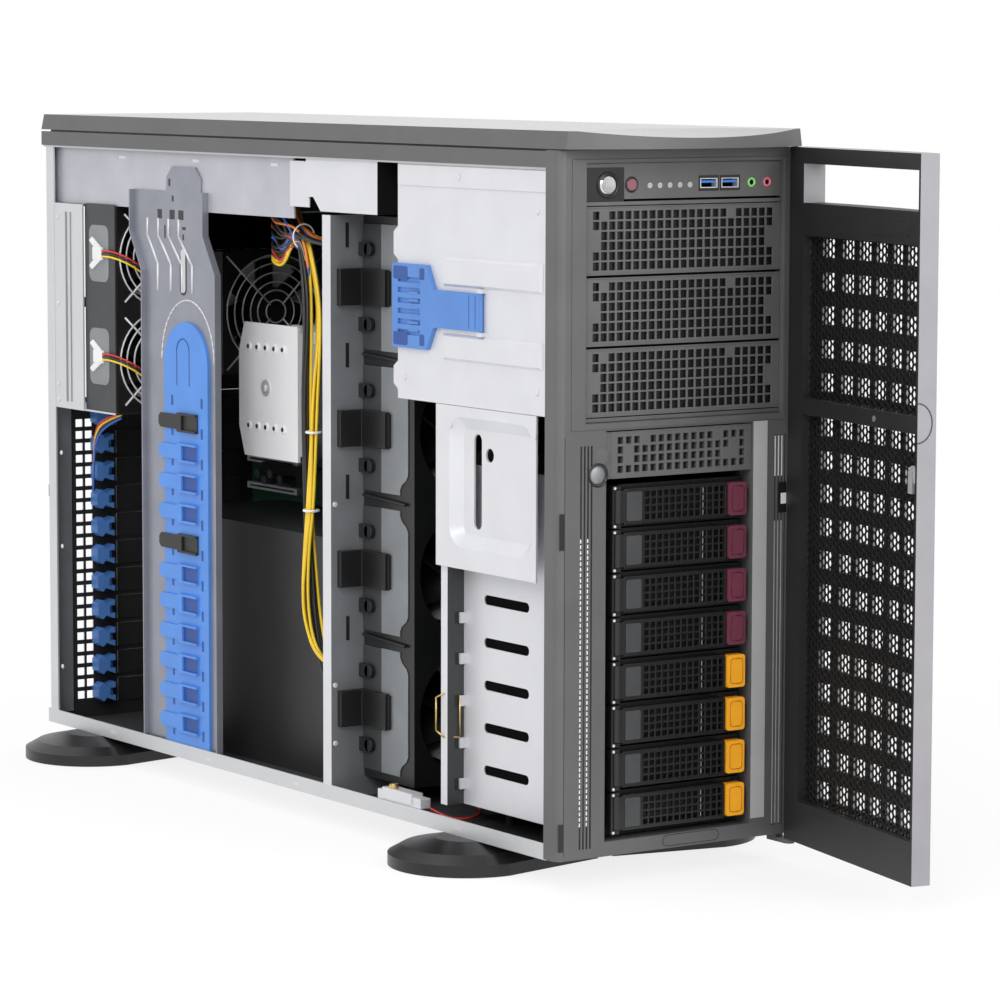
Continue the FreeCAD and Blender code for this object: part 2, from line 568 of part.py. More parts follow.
def top_cover():
    """Moulded top: a band that sits on the roof, a shadow groove and a bowed cap with a scooped lip."""
    half = WIDTH / 2.0
    band = block(-half, half, BEZEL_DEPTH, DEPTH, STEEL_TOP, STEEL_TOP + BAND_HEIGHT)
    hollow = block(BAND_WALL - half, half - BAND_WALL, BEZEL_DEPTH + BAND_WALL, DEPTH - BAND_WALL,
                   STEEL_TOP, STEEL_TOP + BAND_HEIGHT - BAND_WALL)
    neck = block(CAP_NECK_INSET - half, half - CAP_NECK_INSET, BEZEL_DEPTH, DEPTH - CAP_NECK_INSET,
                 STEEL_TOP + BAND_HEIGHT, CAP_BOTTOM)
    step = block(CAP_NECK_INSET - half, half - CAP_NECK_INSET, CAP_NECK_INSET, BEZEL_DEPTH,
                 BEZEL_HEIGHT, CAP_BOTTOM)

    def outline(inset, z):
        left = vec(inset - half, CAP_FRONT_END_Y, z)
        middle = vec(0, CAP_FRONT_MID_Y, z)
        right = vec(half - inset, CAP_FRONT_END_Y, z)
        rear_right = vec(half - inset, DEPTH - inset, z)
        rear_left = vec(inset - half, DEPTH - inset, z)
        return Part.Wire([Part.Arc(left, middle, right).toShape(),
                          Part.LineSegment(right, rear_right).toShape(),
                          Part.LineSegment(rear_right, rear_left).toShape(),
                          Part.LineSegment(rear_left, left).toShape()])

    cap = Part.makeLoft([outline(0.0, CAP_BOTTOM), outline(CAP_TAPER, CAP_TOP)], True, True)
    lip_end = vec(-half - 1.0, 0, CAP_BOTTOM + CAP_LIP_END)
    lip_mid = vec(0, 0, CAP_BOTTOM + CAP_LIP_MID)
    lip_far = vec(half + 1.0, 0, CAP_BOTTOM + CAP_LIP_END)
    above_far = vec(half + 1.0, 0, CAP_TOP + CAP_LIP_END)
    above_near = vec(-half - 1.0, 0, CAP_TOP + CAP_LIP_END)
    scoop = edge_prism([Part.Arc(lip_end, lip_mid, lip_far).toShape(),
                        Part.LineSegment(lip_far, above_far).toShape(),
                        Part.LineSegment(above_far, above_near).toShape(),
                        Part.LineSegment(above_near, lip_end).toShape()], vec(0, CAP_SCOOP_LENGTH, 0))
    slope = math.degrees(math.atan2(CAP_TOP - CAP_BOTTOM - CAP_LIP_MID, CAP_SCOOP_LENGTH))
    scoop.rotate(vec(0, 0, CAP_BOTTOM + CAP_LIP_MID), vec(1, 0, 0), slope)
    scoop.translate(vec(0, CAP_FRONT_MID_Y, 0))
    hinge_pin = rod("z", DOOR_AXIS[0], DOOR_AXIS[1], DOOR_PIN_RADIUS,
                    DOOR_Z[1] - DOOR_PIN_LENGTH, CAP_BOTTOM)
    return joined(band.cut(hollow), neck, step, cap.cut(scoop), hinge_pin)


def front_bezel():
    """Moulded front frame with two openings, upright vents, the lock's strike and the lower hinge lug."""
    half = WIDTH / 2.0
    shell = block(-half, half, 0, BEZEL_DEPTH, 0, BEZEL_HEIGHT)
    front_edges = [edge for edge in shell.Edges
                   if abs(edge.BoundBox.YMax) < 1e-6 and edge.BoundBox.ZLength > BEZEL_HEIGHT / 2]
    shell = shell.makeFillet(BEZEL_CORNER, front_edges)
    shell = shell.cut(block(BEZEL_WALL - half, half - BEZEL_WALL, BEZEL_WALL, BEZEL_DEPTH,
                            BEZEL_WALL, BEZEL_HEIGHT - BEZEL_WALL))
    sleeve = block(LOWER_X[0] - BEZEL_WALL, LOWER_X[1] + BEZEL_WALL, 0, BEZEL_DEPTH,
                   LOWER_Z[0] - BEZEL_WALL, LOWER_Z[1] + BEZEL_WALL)
    body = shell.fuse(sleeve)
    cutters = [block(LOWER_X[0], LOWER_X[1], -1, BEZEL_DEPTH + 1, LOWER_Z[0], LOWER_Z[1]),
               block(UPPER_X[0], UPPER_X[1], -1, BEZEL_DEPTH + 1, UPPER_Z[0], UPPER_Z[1]),
               rod("y", STRIKE_X, STRIKE_Z, STRIKE_RADIUS, -1, BEZEL_WALL / 2.0)]
    for first in (VENT_LEFT_X, VENT_RIGHT_X):
        for index in range(VENT_COUNT):
            x = first + index * VENT_PITCH
            cutters.append(block(x, x + VENT_SLIT, -1, BEZEL_WALL + 1, VENT_Z[0], VENT_Z[1]))
    body = body.cut(Part.makeCompound(cutters))
    lug_top = DOOR_Z[0] - SEAT_GAP
    lug_reach = DOOR_BARREL
    lug = joined(block(DOOR_AXIS[0] - lug_reach, half, DOOR_AXIS[1], BEZEL_DEPTH,
                       lug_top - HINGE_LUG, lug_top),
                 rod("z", DOOR_AXIS[0], DOOR_AXIS[1], lug_reach, lug_top - HINGE_LUG, lug_top),
                 block(DOOR_AXIS[0] - lug_reach, half, BEZEL_CORNER, BEZEL_DEPTH, lug_top, BEZEL_WALL),
                 rod("z", DOOR_AXIS[0], DOOR_AXIS[1], DOOR_PIN_RADIUS, lug_top,
                     DOOR_Z[0] + DOOR_PIN_LENGTH))
    return joined(body, lug)


def control_panel():
    """Plate for the two buttons, the lamps and the front sockets."""
    left, right = UPPER_X[0] + SEAT_GAP, UPPER_X[1] - SEAT_GAP
    top = UPPER_Z[1] - SEAT_GAP
    plate = block(left, right, PANEL_Y[0], PANEL_Y[1], top - PANEL_HEIGHT, top)
    through = (PANEL_Y[0] - 1, PANEL_Y[1] + 1)
    cutters = [rod("y", POWER_X, BUTTON_Z, POWER_RADIUS + RUNNING_FIT, *through),
               rod("y", RESET_X, BUTTON_Z, RESET_RADIUS + RUNNING_FIT, *through)]
    cutters += [block(x - LED_RADIUS, x + LED_RADIUS, through[0], through[1], BUTTON_Z - LED_RADIUS,
                      BUTTON_Z + LED_RADIUS) for x in LED_X]
    cutters += [rod("y", x, BUTTON_Z, AUDIO_RADIUS, *through) for x in AUDIO_X]
    cutters += [block(x - USB_SIZE[0] / 2, x + USB_SIZE[0] / 2, through[0], through[1],
                      BUTTON_Z - USB_SIZE[1] / 2, BUTTON_Z + USB_SIZE[1] / 2) for x in USB_X]
    return plate.cut(Part.makeCompound(cutters))


def push_button(x, radius):
    """A round button with a bevelled rim, running in its hole in the control panel."""
    button = rod("y", x, BUTTON_Z, radius, BUTTON_FACE_Y, BUTTON_FACE_Y + BUTTON_LENGTH)
    rim = [edge for edge in button.Edges if edge.BoundBox.YMax < BUTTON_FACE_Y + 0.01]
    return button.makeChamfer(radius * 0.14, rim)


def vented_cover(x_span, z_span, counts):
    """A flat bay cover with a raised rim and a grid of windows."""
    plate = block(x_span[0], x_span[1], COVER_Y[0], COVER_Y[1], z_span[0], z_span[1])
    rim = 3.0 * GRID_BAR
    cutters = grid_cutters((x_span[0] + rim, x_span[1] - rim), (z_span[0] + rim, z_span[1] - rim),
                           counts, GRID_BAR, (COVER_Y[0] - 1, COVER_Y[1] + 1))
    return plate.cut(Part.makeCompound(cutters))


def bay_covers():
    """Three drive bay covers and the slim one over the trays."""
    x_span = (UPPER_X[0] + SEAT_GAP, UPPER_X[1] - SEAT_GAP)
    covers = []
    for index in range(COVER_COUNT):
        top = COVER_TOP - index * COVER_PITCH
        covers.append(vented_cover(x_span, (top - COVER_HEIGHT, top), COVER_GRID))
    slim_x = (LOWER_X[0] + SEAT_GAP, LOWER_X[1] - SEAT_GAP)
    covers.append(vented_cover(slim_x, SLIM_COVER_Z, SLIM_GRID))
    return covers


# Drive trays


def tray_bottom(index):
    return TRAY_TOP - index * TRAY_PITCH - TRAY_HEIGHT


def drive_tray(index):
    """One drive tray: face plate, cheek and pivot ears, two rails, a rear bar, and its drive."""
    z0 = tray_bottom(index)
    z1 = z0 + TRAY_HEIGHT
    pivot_y = sum(LEVER_Y) / 2.0
    face = block(TRAY_X[0], TRAY_X[1], TRAY_FACE_Y, TRAY_FACE_BACK, z0, z1)
    cheek = block(TRAY_X[0], TRAY_X[0] + TRAY_RAIL, LEVER_Y[0], TRAY_FACE_Y, z0, z1)
    pieces = [cheek]
    for low, pin_low in ((z0, z0 + LEVER_EAR), (z1 - LEVER_EAR, z1 - LEVER_EAR - LEVER_PIN_LENGTH)):
        tip = LEVER_PIVOT_X + LEVER_EAR_RADIUS
        front = pivot_y - LEVER_EAR_RADIUS
        pieces.append(prism("z", [(TRAY_X[0], TRAY_FACE_Y), (TRAY_X[0], front),
                                  (tip - LEVER_EAR_BEVEL, front), (tip, front + LEVER_EAR_BEVEL),
                                  (tip, TRAY_FACE_Y)], low, low + LEVER_EAR))
        pieces.append(rod("z", LEVER_PIVOT_X, pivot_y, LEVER_PIN_RADIUS, pin_low,
                          pin_low + LEVER_PIN_LENGTH))
    for x in (TRAY_X[0], TRAY_X[1] - TRAY_RAIL):
        pieces.append(block(x, x + TRAY_RAIL, TRAY_FACE_BACK, TRAY_LENGTH,
                            z0 + TRAY_RAIL_Z[0], z0 + TRAY_RAIL_Z[1]))
    pieces.append(block(TRAY_X[0], TRAY_X[1], TRAY_LENGTH - TRAY_RAIL, TRAY_LENGTH,
                        z0 + TRAY_RAIL_Z[0], z0 + TRAY_RAIL_Z[0] + 2.0 * TRAY_RAIL))
    frame = joined(face, *pieces)
    stem_x = sum(TAB_X) / 2.0
    stem_z = (z0 + z1) / 2.0
    frame = frame.cut(rod("y", stem_x, stem_z, TAB_STEM_RADIUS + RUNNING_FIT,
                          TRAY_FACE_Y - 1, TRAY_FACE_BACK + 1))
    drive = block(TRAY_X[0] + TRAY_RAIL, TRAY_X[1] - TRAY_RAIL, DRIVE_Y[0], DRIVE_Y[1],
                  z0 + DRIVE_Z[0], z0 + DRIVE_Z[1])
    return frame, drive


def tray_lever(index):
    """The perforated lever on a tray's face, hollow behind, with a barrel at its pivot."""
    z0 = tray_bottom(index)
    pivot_y = sum(LEVER_Y) / 2.0
    barrel = (LEVER_Y[1] - LEVER_Y[0]) / 2.0
    arm_left = LEVER_PIVOT_X + barrel
    low, high = z0 + LEVER_MARGIN, z0 + TRAY_HEIGHT - LEVER_MARGIN
    arm = block(arm_left, LEVER_RIGHT, LEVER_Y[0], LEVER_Y[1], low, high)
    hollow = block(arm_left + LEVER_SHELL, LEVER_RIGHT - LEVER_SHELL, LEVER_Y[0] + LEVER_SHELL,
                   LEVER_Y[1] + 1, low + LEVER_SHELL, high - LEVER_SHELL)
    ear_low = z0 + LEVER_EAR + SEAT_GAP
    ear_high = z0 + TRAY_HEIGHT - LEVER_EAR - SEAT_GAP
    neck = block(LEVER_PIVOT_X, arm_left, LEVER_Y[0], LEVER_Y[1], ear_low, ear_high)
    knuckle = rod("z", LEVER_PIVOT_X, pivot_y, barrel, ear_low, ear_high)
    lever = joined(arm.cut(hollow), neck, knuckle)
    pin_hole = LEVER_PIN_LENGTH + SEAT_GAP
    cutters = [rod("z", LEVER_PIVOT_X, pivot_y, LEVER_PIN_RADIUS + RUNNING_FIT, z, z + pin_hole)
               for z in (ear_low, ear_high - pin_hole)]
    cutters += grid_cutters(LEVER_GRID_X, (low + LEVER_SHELL, high - LEVER_SHELL), LEVER_GRID,
                            GRID_BAR, (LEVER_Y[0] - 1, LEVER_Y[0] + LEVER_SHELL + 1))
    return lever.cut(Part.makeCompound(cutters))


def tray_release(index):
    """The coloured release tab on its stem."""
    middle = tray_bottom(index) + TRAY_HEIGHT / 2.0
    tab = block(TAB_X[0], TAB_X[1], TAB_Y[0], TAB_Y[1],
                middle - TAB_HEIGHT / 2.0, middle + TAB_HEIGHT / 2.0)
    sides = [edge for edge in tab.Edges if edge.BoundBox.YLength > 1]
    tab = tab.makeFillet(TAB_STEM_RADIUS, sides)
    stem = rod("y", sum(TAB_X) / 2.0, middle, TAB_STEM_RADIUS, TAB_Y[1], TAB_STEM_END)
    return joined(tab, stem)


def drive_cage():
    """Steel cage of the trays: outer plates with oblong slots, guide walls with ledges, floor and roof."""
    left, right = CAGE_OUTER_X
    guide_left = TRAY_X[0] - CAGE_GUIDE_GAP
    guide_right = TRAY_X[1] + CAGE_GUIDE_GAP
    front = BEZEL_DEPTH
    floor = block(guide_left - SHEET, right, front, CAGE_DEPTH, CAGE_FLOOR_Z, CAGE_FLOOR_Z + SHEET)
    roof = block(left, right, front, CAGE_DEPTH, CAGE_TOP, CAGE_TOP + SHEET)
    skirt = block(left, guide_left, front, CAGE_DEPTH_LEFT, CAGE_SKIRT_Z, CAGE_SKIRT_Z + SHEET)
    left_plate = block(left, left + SHEET, front, CAGE_DEPTH_LEFT, CAGE_SKIRT_Z, CAGE_TOP + SHEET)
    slots = [oblong(CAGE_SLOT_Y[0], CAGE_SLOT_Y[1], tray_bottom(index) + CAGE_SLOT_RISE,
                    CAGE_SLOT_HEIGHT, left - 1, left + SHEET + 1) for index in range(TRAY_COUNT - 1)]
    flange = block(CAGE_FLANGE_X, left + SHEET, CAGE_DEPTH_LEFT - SHEET, CAGE_DEPTH_LEFT,
                   CAGE_SKIRT_Z, CAGE_TOP)
    lip = block(CAGE_FLANGE_X, CAGE_FLANGE_X + SHEET, CAGE_DEPTH_LEFT - SHEET,
                CAGE_DEPTH_LEFT + CAGE_RETURN, CAGE_SKIRT_Z, CAGE_TOP)
    right_plate = block(right - SHEET, right, front, CAGE_DEPTH, CAGE_FLOOR_Z, CAGE_TOP + SHEET)
    pieces = [left_plate.cut(Part.makeCompound(slots)), skirt, flange, lip, right_plate]
    pieces += [rod("z", x, y, CAGE_POST_RADIUS, BASE_TOP, CAGE_FLOOR_Z)
               for x in CAGE_POST_X for y in CAGE_POST_Y]
    for wall_left, ledge_left in ((guide_left - SHEET, guide_left),
                                  (guide_right, guide_right - LEDGE_DEPTH)):
        pieces.append(block(wall_left, wall_left + SHEET, front, CAGE_DEPTH, CAGE_FLOOR_Z, CAGE_TOP))
        for index in range(TRAY_COUNT):
            ledge_top = tray_bottom(index) + TRAY_RAIL_Z[0] - SEAT_GAP
            pieces.append(block(ledge_left, ledge_left + LEDGE_DEPTH, front, CAGE_DEPTH - LEDGE_DEPTH,
                                ledge_top - LEDGE_HEIGHT, ledge_top))
    return joined(floor, roof, *pieces)


def upper_cage():
    """Steel cage of the upper bays: ribbed left plate with the latch's ears, floor and bay walls."""
    outer = PLATE_X - SHEET
    plate = block(outer, PLATE_X, BEZEL_DEPTH, UPPER_CAGE_REAR, UPPER_CAGE_FLOOR, ROOF_UNDERSIDE)
    floor = block(PLATE_X, STEEL_HALF - SHEET, BEZEL_DEPTH, UPPER_CAGE_REAR,
                  UPPER_CAGE_FLOOR, UPPER_CAGE_FLOOR + SHEET)
    walls = [block(x, x + SHEET, BEZEL_DEPTH, UPPER_CAGE_REAR, UPPER_CAGE_FLOOR, ROOF_UNDERSIDE)
             for x in (UPPER_X[0] - SHEET, UPPER_X[1])]
    ribs = []
    for low, high in RIB_RISE:
        rib = block(outer - RIB_HEIGHT, outer, RIB_Y[0], RIB_Y[1],
                    UPPER_CAGE_FLOOR + low, UPPER_CAGE_FLOOR + high)
        outside = [edge for edge in rib.Edges if edge.BoundBox.XMax < outer - RIB_HEIGHT + 0.01]
        ribs.append(rib.makeChamfer(RIB_HEIGHT * 0.8, outside))
    bumps = []
    for low_rise, high_rise in BUMP_RISE:
        low, high = UPPER_CAGE_FLOOR + low_rise, UPPER_CAGE_FLOOR + high_rise
        corner = BUMP_REACH * 0.7
        bumps.append(prism("x", [(UPPER_CAGE_REAR, low), (UPPER_CAGE_REAR + BUMP_REACH, low + corner),
                                 (UPPER_CAGE_REAR + BUMP_REACH, high - corner),
                                 (UPPER_CAGE_REAR, high)], outer, PLATE_X))
    ears = []
    for low in (LATCH_TONGUE_Z[0] - SEAT_GAP - LATCH_EAR, LATCH_TONGUE_Z[1] + SEAT_GAP):
        ear = block(LATCH_X[0], outer, LATCH_PIVOT_Y - LATCH_EAR, LATCH_PIVOT_Y + LATCH_EAR,
                    low, low + LATCH_EAR)
        ears.append(ear.cut(rod("z", LATCH_PIVOT_X, LATCH_PIVOT_Y, LATCH_PIN_RADIUS + RUNNING_FIT,
                                low - 1, low + LATCH_EAR + 1)))
    return joined(plate, floor, *walls, *ribs, *bumps, *ears)


def cage_latch():
    """Blue latch: a tongue hinged at its front end on two pins, and a wide ribbed grip."""
    tongue_low, tongue_high = LATCH_TONGUE_Z
    grip_low, grip_high = LATCH_GRIP_Z
    neck_y, grip_y, end_y = LATCH_NECK_Y, LATCH_GRIP_Y[0], LATCH_GRIP_Y[1]
    outline = [(LATCH_PIVOT_Y, tongue_low), (neck_y, tongue_low), (grip_y, grip_low),
               (end_y, grip_low), (end_y, grip_high), (grip_y, grip_high),
               (neck_y, tongue_high), (LATCH_PIVOT_Y, tongue_high)]
    body = prism("x", outline, LATCH_X[0], LATCH_X[1])
    barrel_radius = (LATCH_X[1] - LATCH_X[0]) / 2.0 - RUNNING_FIT
    barrel = rod("z", LATCH_PIVOT_X, LATCH_PIVOT_Y, barrel_radius, tongue_low, tongue_high)
    pin = rod("z", LATCH_PIVOT_X, LATCH_PIVOT_Y, LATCH_PIN_RADIUS,
              tongue_low - LATCH_EAR, tongue_high + LATCH_EAR)
    rib_pitch = (grip_high - grip_low) / (LATCH_RIB_COUNT + 2.0)
    grooves = []
    for index in range(LATCH_RIB_COUNT):
        z = grip_low + (index + 1.25) * rib_pitch
        grooves.append(block(LATCH_X[0] - 1, LATCH_X[0] + barrel_radius, grip_y + rib_pitch,
                             end_y - rib_pitch, z, z + rib_pitch / 2.0))
    return joined(body, barrel, pin).cut(Part.makeCompound(grooves))


def dish_outline(inset, x):
    """A rectangle with round corners on the plate; its corners keep their centres as it shrinks."""
    y0, y1 = DISH_Y[0] + inset, DISH_Y[1] - inset
    z0, z1 = DISH_Z[0] + inset, DISH_Z[1] - inset
    radius = DISH_CORNER - inset
    bend = radius * (1.0 - math.sqrt(0.5))
    corners = [((y1 - radius, z0), (y1 - bend, z0 + bend), (y1, z0 + radius)),
               ((y1, z1 - radius), (y1 - bend, z1 - bend), (y1 - radius, z1)),
               ((y0 + radius, z1), (y0 + bend, z1 - bend), (y0, z1 - radius)),
               ((y0, z0 + radius), (y0 + bend, z0 + bend), (y0 + radius, z0))]
    edges = []
    for index, corner in enumerate(corners):
        start, middle, end = [vec(x, y, z) for y, z in corner]
        following = vec(x, *corners[(index + 1) % len(corners)][0])
        edges.append(Part.Arc(start, middle, end).toShape())
        edges.append(Part.LineSegment(end, following).toShape())
    return Part.Wire(edges)


def cage_side_plate():
    """Plate under the upper cage with a dished middle, an upright slot and a round hole."""
    outer = PLATE_X - SHEET
    floor = outer + DISH_DEPTH
    flat = block(outer, PLATE_X, SIDE_PLATE_Y[0], SIDE_PLATE_Y[1], SIDE_PLATE_FOOT, SIDE_PLATE_TOP)
    dish = Part.makeLoft([dish_outline(-SHEET, outer), dish_outline(DISH_SLOPE - SHEET, floor + SHEET)],
                         True, True)
    hollow = Part.makeLoft([dish_outline(0.0, outer), dish_outline(DISH_SLOPE, floor)], True, True)
    radius = DISH_SLOT_WIDTH / 2.0
    through = (floor - 1, floor + SHEET + 1)
    low, high = DISH_SLOT_Z[0] + radius, DISH_SLOT_Z[1] - radius
    slot = block(through[0], through[1], DISH_SLOT_Y - radius, DISH_SLOT_Y + radius, low, high)
    ends = [rod("x", DISH_SLOT_Y, z, radius, *through) for z in (low, high)]
    hole = rod("x", DISH_HOLE[0], DISH_HOLE[1], DISH_HOLE_RADIUS, *through)
    return joined(flat, dish).cut(Part.makeCompound([hollow, slot, hole] + ends))


# Fans


def fan_frame(x, z, size, y0, depth, bore):
    """A square fan frame with a round duct, a motor plate on four arms and its shaft."""
    half = size / 2.0
    y1 = y0 + depth
    frame = block(x - half, x + half, y0, y1, z - half, z + half)
    frame = frame.cut(rod("y", x, z, bore, y0 - 1, y1 + 1))
    hub = bore * FAN_HUB_SHARE
    plate_y = y1 - FAN_MOTOR_PLATE
    arms = [block(x - bore - 1, x + bore + 1, plate_y, y1, z - FAN_ARM / 2, z + FAN_ARM / 2),
            block(x - FAN_ARM / 2, x + FAN_ARM / 2, plate_y, y1, z - bore - 1, z + bore + 1),
            rod("y", x, z, hub, plate_y, y1),
            rod("y", x, z, FAN_SHAFT_RADIUS, y0 + depth * 0.4, plate_y)]
    return joined(frame, *arms)


def fan_rotor(x, z, y0, depth, bore):
    """Hub and pitched blades that turn on the frame's shaft."""
    hub = bore * FAN_HUB_SHARE
    tip = bore - FAN_TIP_GAP
    front = y0 + depth * 0.12
    back = y0 + depth - FAN_MOTOR_PLATE - 2.0 * SEAT_GAP
    body = rod("y", x, z, hub, front, back)
    tilt = math.sin(math.radians(FAN_BLADE_PITCH))
    half_chord = min(bore * FAN_BLADE_CHORD, FAN_BLADE_CHORD * (back - front) / tilt)
    middle = front + half_chord * tilt + FAN_BLADE_THICK
    reach = math.sqrt(tip ** 2 - half_chord ** 2) - FAN_TIP_GAP
    blade = prism("z", [(-half_chord, -FAN_BLADE_THICK / 2.0), (half_chord, -FAN_BLADE_THICK / 2.0),
                        (half_chord, FAN_BLADE_THICK / 2.0), (-half_chord, FAN_BLADE_THICK / 2.0)],
                  hub * 0.8, reach)
    blade.rotate(vec(0, 0, 0), vec(0, 0, 1), FAN_BLADE_PITCH)
    blade.translate(vec(x, middle, z))
    blades = []
    for index in range(FAN_BLADES):
        turned = blade.copy()
        turned.rotate(vec(x, 0, z), vec(0, 1, 0), index * 360.0 / FAN_BLADES)
        blades.append(turned)
    bore_hole = rod("y", x, z, FAN_SHAFT_RADIUS + RUNNING_FIT, y0 + depth * 0.38, back + 1)
    return joined(body, *blades).cut(bore_hole)


def mid_fans():
    """Frame and rotor dimensions of the fans in front of the fan wall, from the bottom up."""
    y0 = FAN_WALL_Y - MID_FAN_DEPTH
    return [(MID_FAN_X, MID_FAN_FIRST_Z + index * MID_FAN_SIZE, y0) for index in range(MID_FAN_COUNT)]


def rear_fans():
    """The same for the exhaust fans, which hang under the power supplies' floor."""
    first = PSU_FLOOR - REAR_FAN_SIZE / 2.0
    return [(REAR_FAN_X, first - index * REAR_FAN_SIZE, REAR_FAN_Y) for index in range(REAR_FAN_COUNT)]


def cooler_fans():
    return [(COOLER_FAN_X, sum(cooler["z"]) / 2.0, cooler["fan_y"]) for cooler in (COOLER_A, COOLER_B)]


def fan_housings():
    """Frames of the four mid fans with their side clips, and of the two exhaust fans."""
    frames = []
    for x, z, y0 in mid_fans():
        frame = fan_frame(x, z, MID_FAN_SIZE, y0, MID_FAN_DEPTH, MID_FAN_BORE)
        side = x - MID_FAN_SIZE / 2.0
        low = z - FAN_CLIP_HEIGHT / 2.0
        cheek = block(side - FAN_CLIP_THICK, side, FAN_WALL_Y - FAN_CLIP_LENGTH, FAN_WALL_Y,
                      low, low + FAN_CLIP_HEIGHT)
        wing = block(side - FAN_CLIP_THICK - FAN_CLIP_REACH, side, FAN_WALL_Y - FAN_CLIP_THICK,
                     FAN_WALL_Y, low, low + FAN_CLIP_HEIGHT)
        frames.append(joined(frame, cheek, wing))
    for x, z, y0 in rear_fans():
        frames.append(fan_frame(x, z, REAR_FAN_SIZE, y0, REAR_FAN_DEPTH, REAR_FAN_BORE))
    return frames


def fan_wall():
    """Steel cross wall with a round opening behind each mid fan and a flange on the open side."""
    left = SHEET - STEEL_HALF
    wall = block(left, STEEL_HALF - SHEET, FAN_WALL_Y, FAN_WALL_Y + SHEET, BASE_TOP, FAN_WALL_TOP)
    holes = [rod("y", x, z, MID_FAN_BORE, FAN_WALL_Y - 1, FAN_WALL_Y + SHEET + 1)
             for x, z, _ in mid_fans()]
    flange = block(left - SHEET, left, FAN_WALL_Y, FAN_WALL_Y + FAN_WALL_FLANGE,
                   BASE_Z + BASE_LIP, FAN_WALL_TOP)
    return joined(wall.cut(Part.makeCompound(holes)), flange)


# Power supplies and rear


def psu_cage():
    """Floor, side walls and divider of the supply bays, and the bracket that guides their cables."""
    front, back = PSU_FRONT_Y, REAR_PANEL_Y
    floor_top = PSU_FLOOR + SHEET
    half_divider = SHEET / 2.0
    wall_x = half_divider + PSU_WIDTH + 2.0 * PSU_CLEAR
    floor = block(PSU_RAIL_X, STEEL_HALF - SHEET, front, back, PSU_FLOOR, floor_top)
    rail = block(PSU_RAIL_X - SHEET, PSU_RAIL_X, front - PSU_RAIL_REACH, back, PSU_FLOOR, ROOF_UNDERSIDE)
    walls = [block(x, x + SHEET, front, back, floor_top, ROOF_UNDERSIDE)
             for x in (-wall_x - SHEET, -half_divider, wall_x)]
    cage = joined(floor, rail, *walls)
    bracket_x = PLATE_X - SHEET
    y0, y1 = CABLE_BRACKET_Y
    bend = 9.0
    bracket = prism("x", [(y0, CABLE_BRACKET_BOTTOM), (y1 - 2 * bend, CABLE_BRACKET_BOTTOM),
                          (y1 - bend, CABLE_BRACKET_BOTTOM + bend), (y1, CABLE_BRACKET_BOTTOM + bend),
                          (y1, ROOF_UNDERSIDE), (y0, ROOF_UNDERSIDE)], bracket_x, PLATE_X)
    shelf = block(PLATE_X, PLATE_X + 3.0 * bend, y0, y0 + SHEET, CABLE_BRACKET_BOTTOM, ROOF_UNDERSIDE)
    return cage, joined(bracket, shelf)


def psu_module(side):
    """One hot-swap supply with a recessed mains inlet, a fan opening and a pull tab."""
    inner = SHEET / 2.0 + PSU_CLEAR
    x0 = inner if side > 0 else -inner - PSU_WIDTH
    z0 = PSU_FLOOR + SHEET + PSU_CLEAR
    z1 = z0 + PSU_HEIGHT
    back = DEPTH - REAR_INSET + SHEET
    case = block(x0, x0 + PSU_WIDTH, PSU_FRONT_Y + 1.0, back, z0, z1)
    middle_z = (z0 + z1) / 2.0
    inlet_w, inlet_h, inlet_depth = PSU_INLET
    inlet = block(x0 + 5.0, x0 + 5.0 + inlet_w, back - inlet_depth, back + 1,
                  middle_z - inlet_h / 2, middle_z + inlet_h / 2)
    fan = rod("y", x0 + PSU_WIDTH - PSU_HEIGHT / 2.0 - 3.0, middle_z, PSU_HEIGHT * 0.42, back - 3.0,
              back + 1)
    tab_x = x0 + 5.0 + inlet_w + 3.0
    tab = block(tab_x, tab_x + 4.0, back, back + PSU_TAB, middle_z - PSU_TAB_HEIGHT / 2.0,
                middle_z + PSU_TAB_HEIGHT / 2.0)
    return joined(case.cut(Part.makeCompound([inlet, fan])), tab)


def slot_z(index):
    return SLOT_FIRST_Z + index * SLOT_PITCH


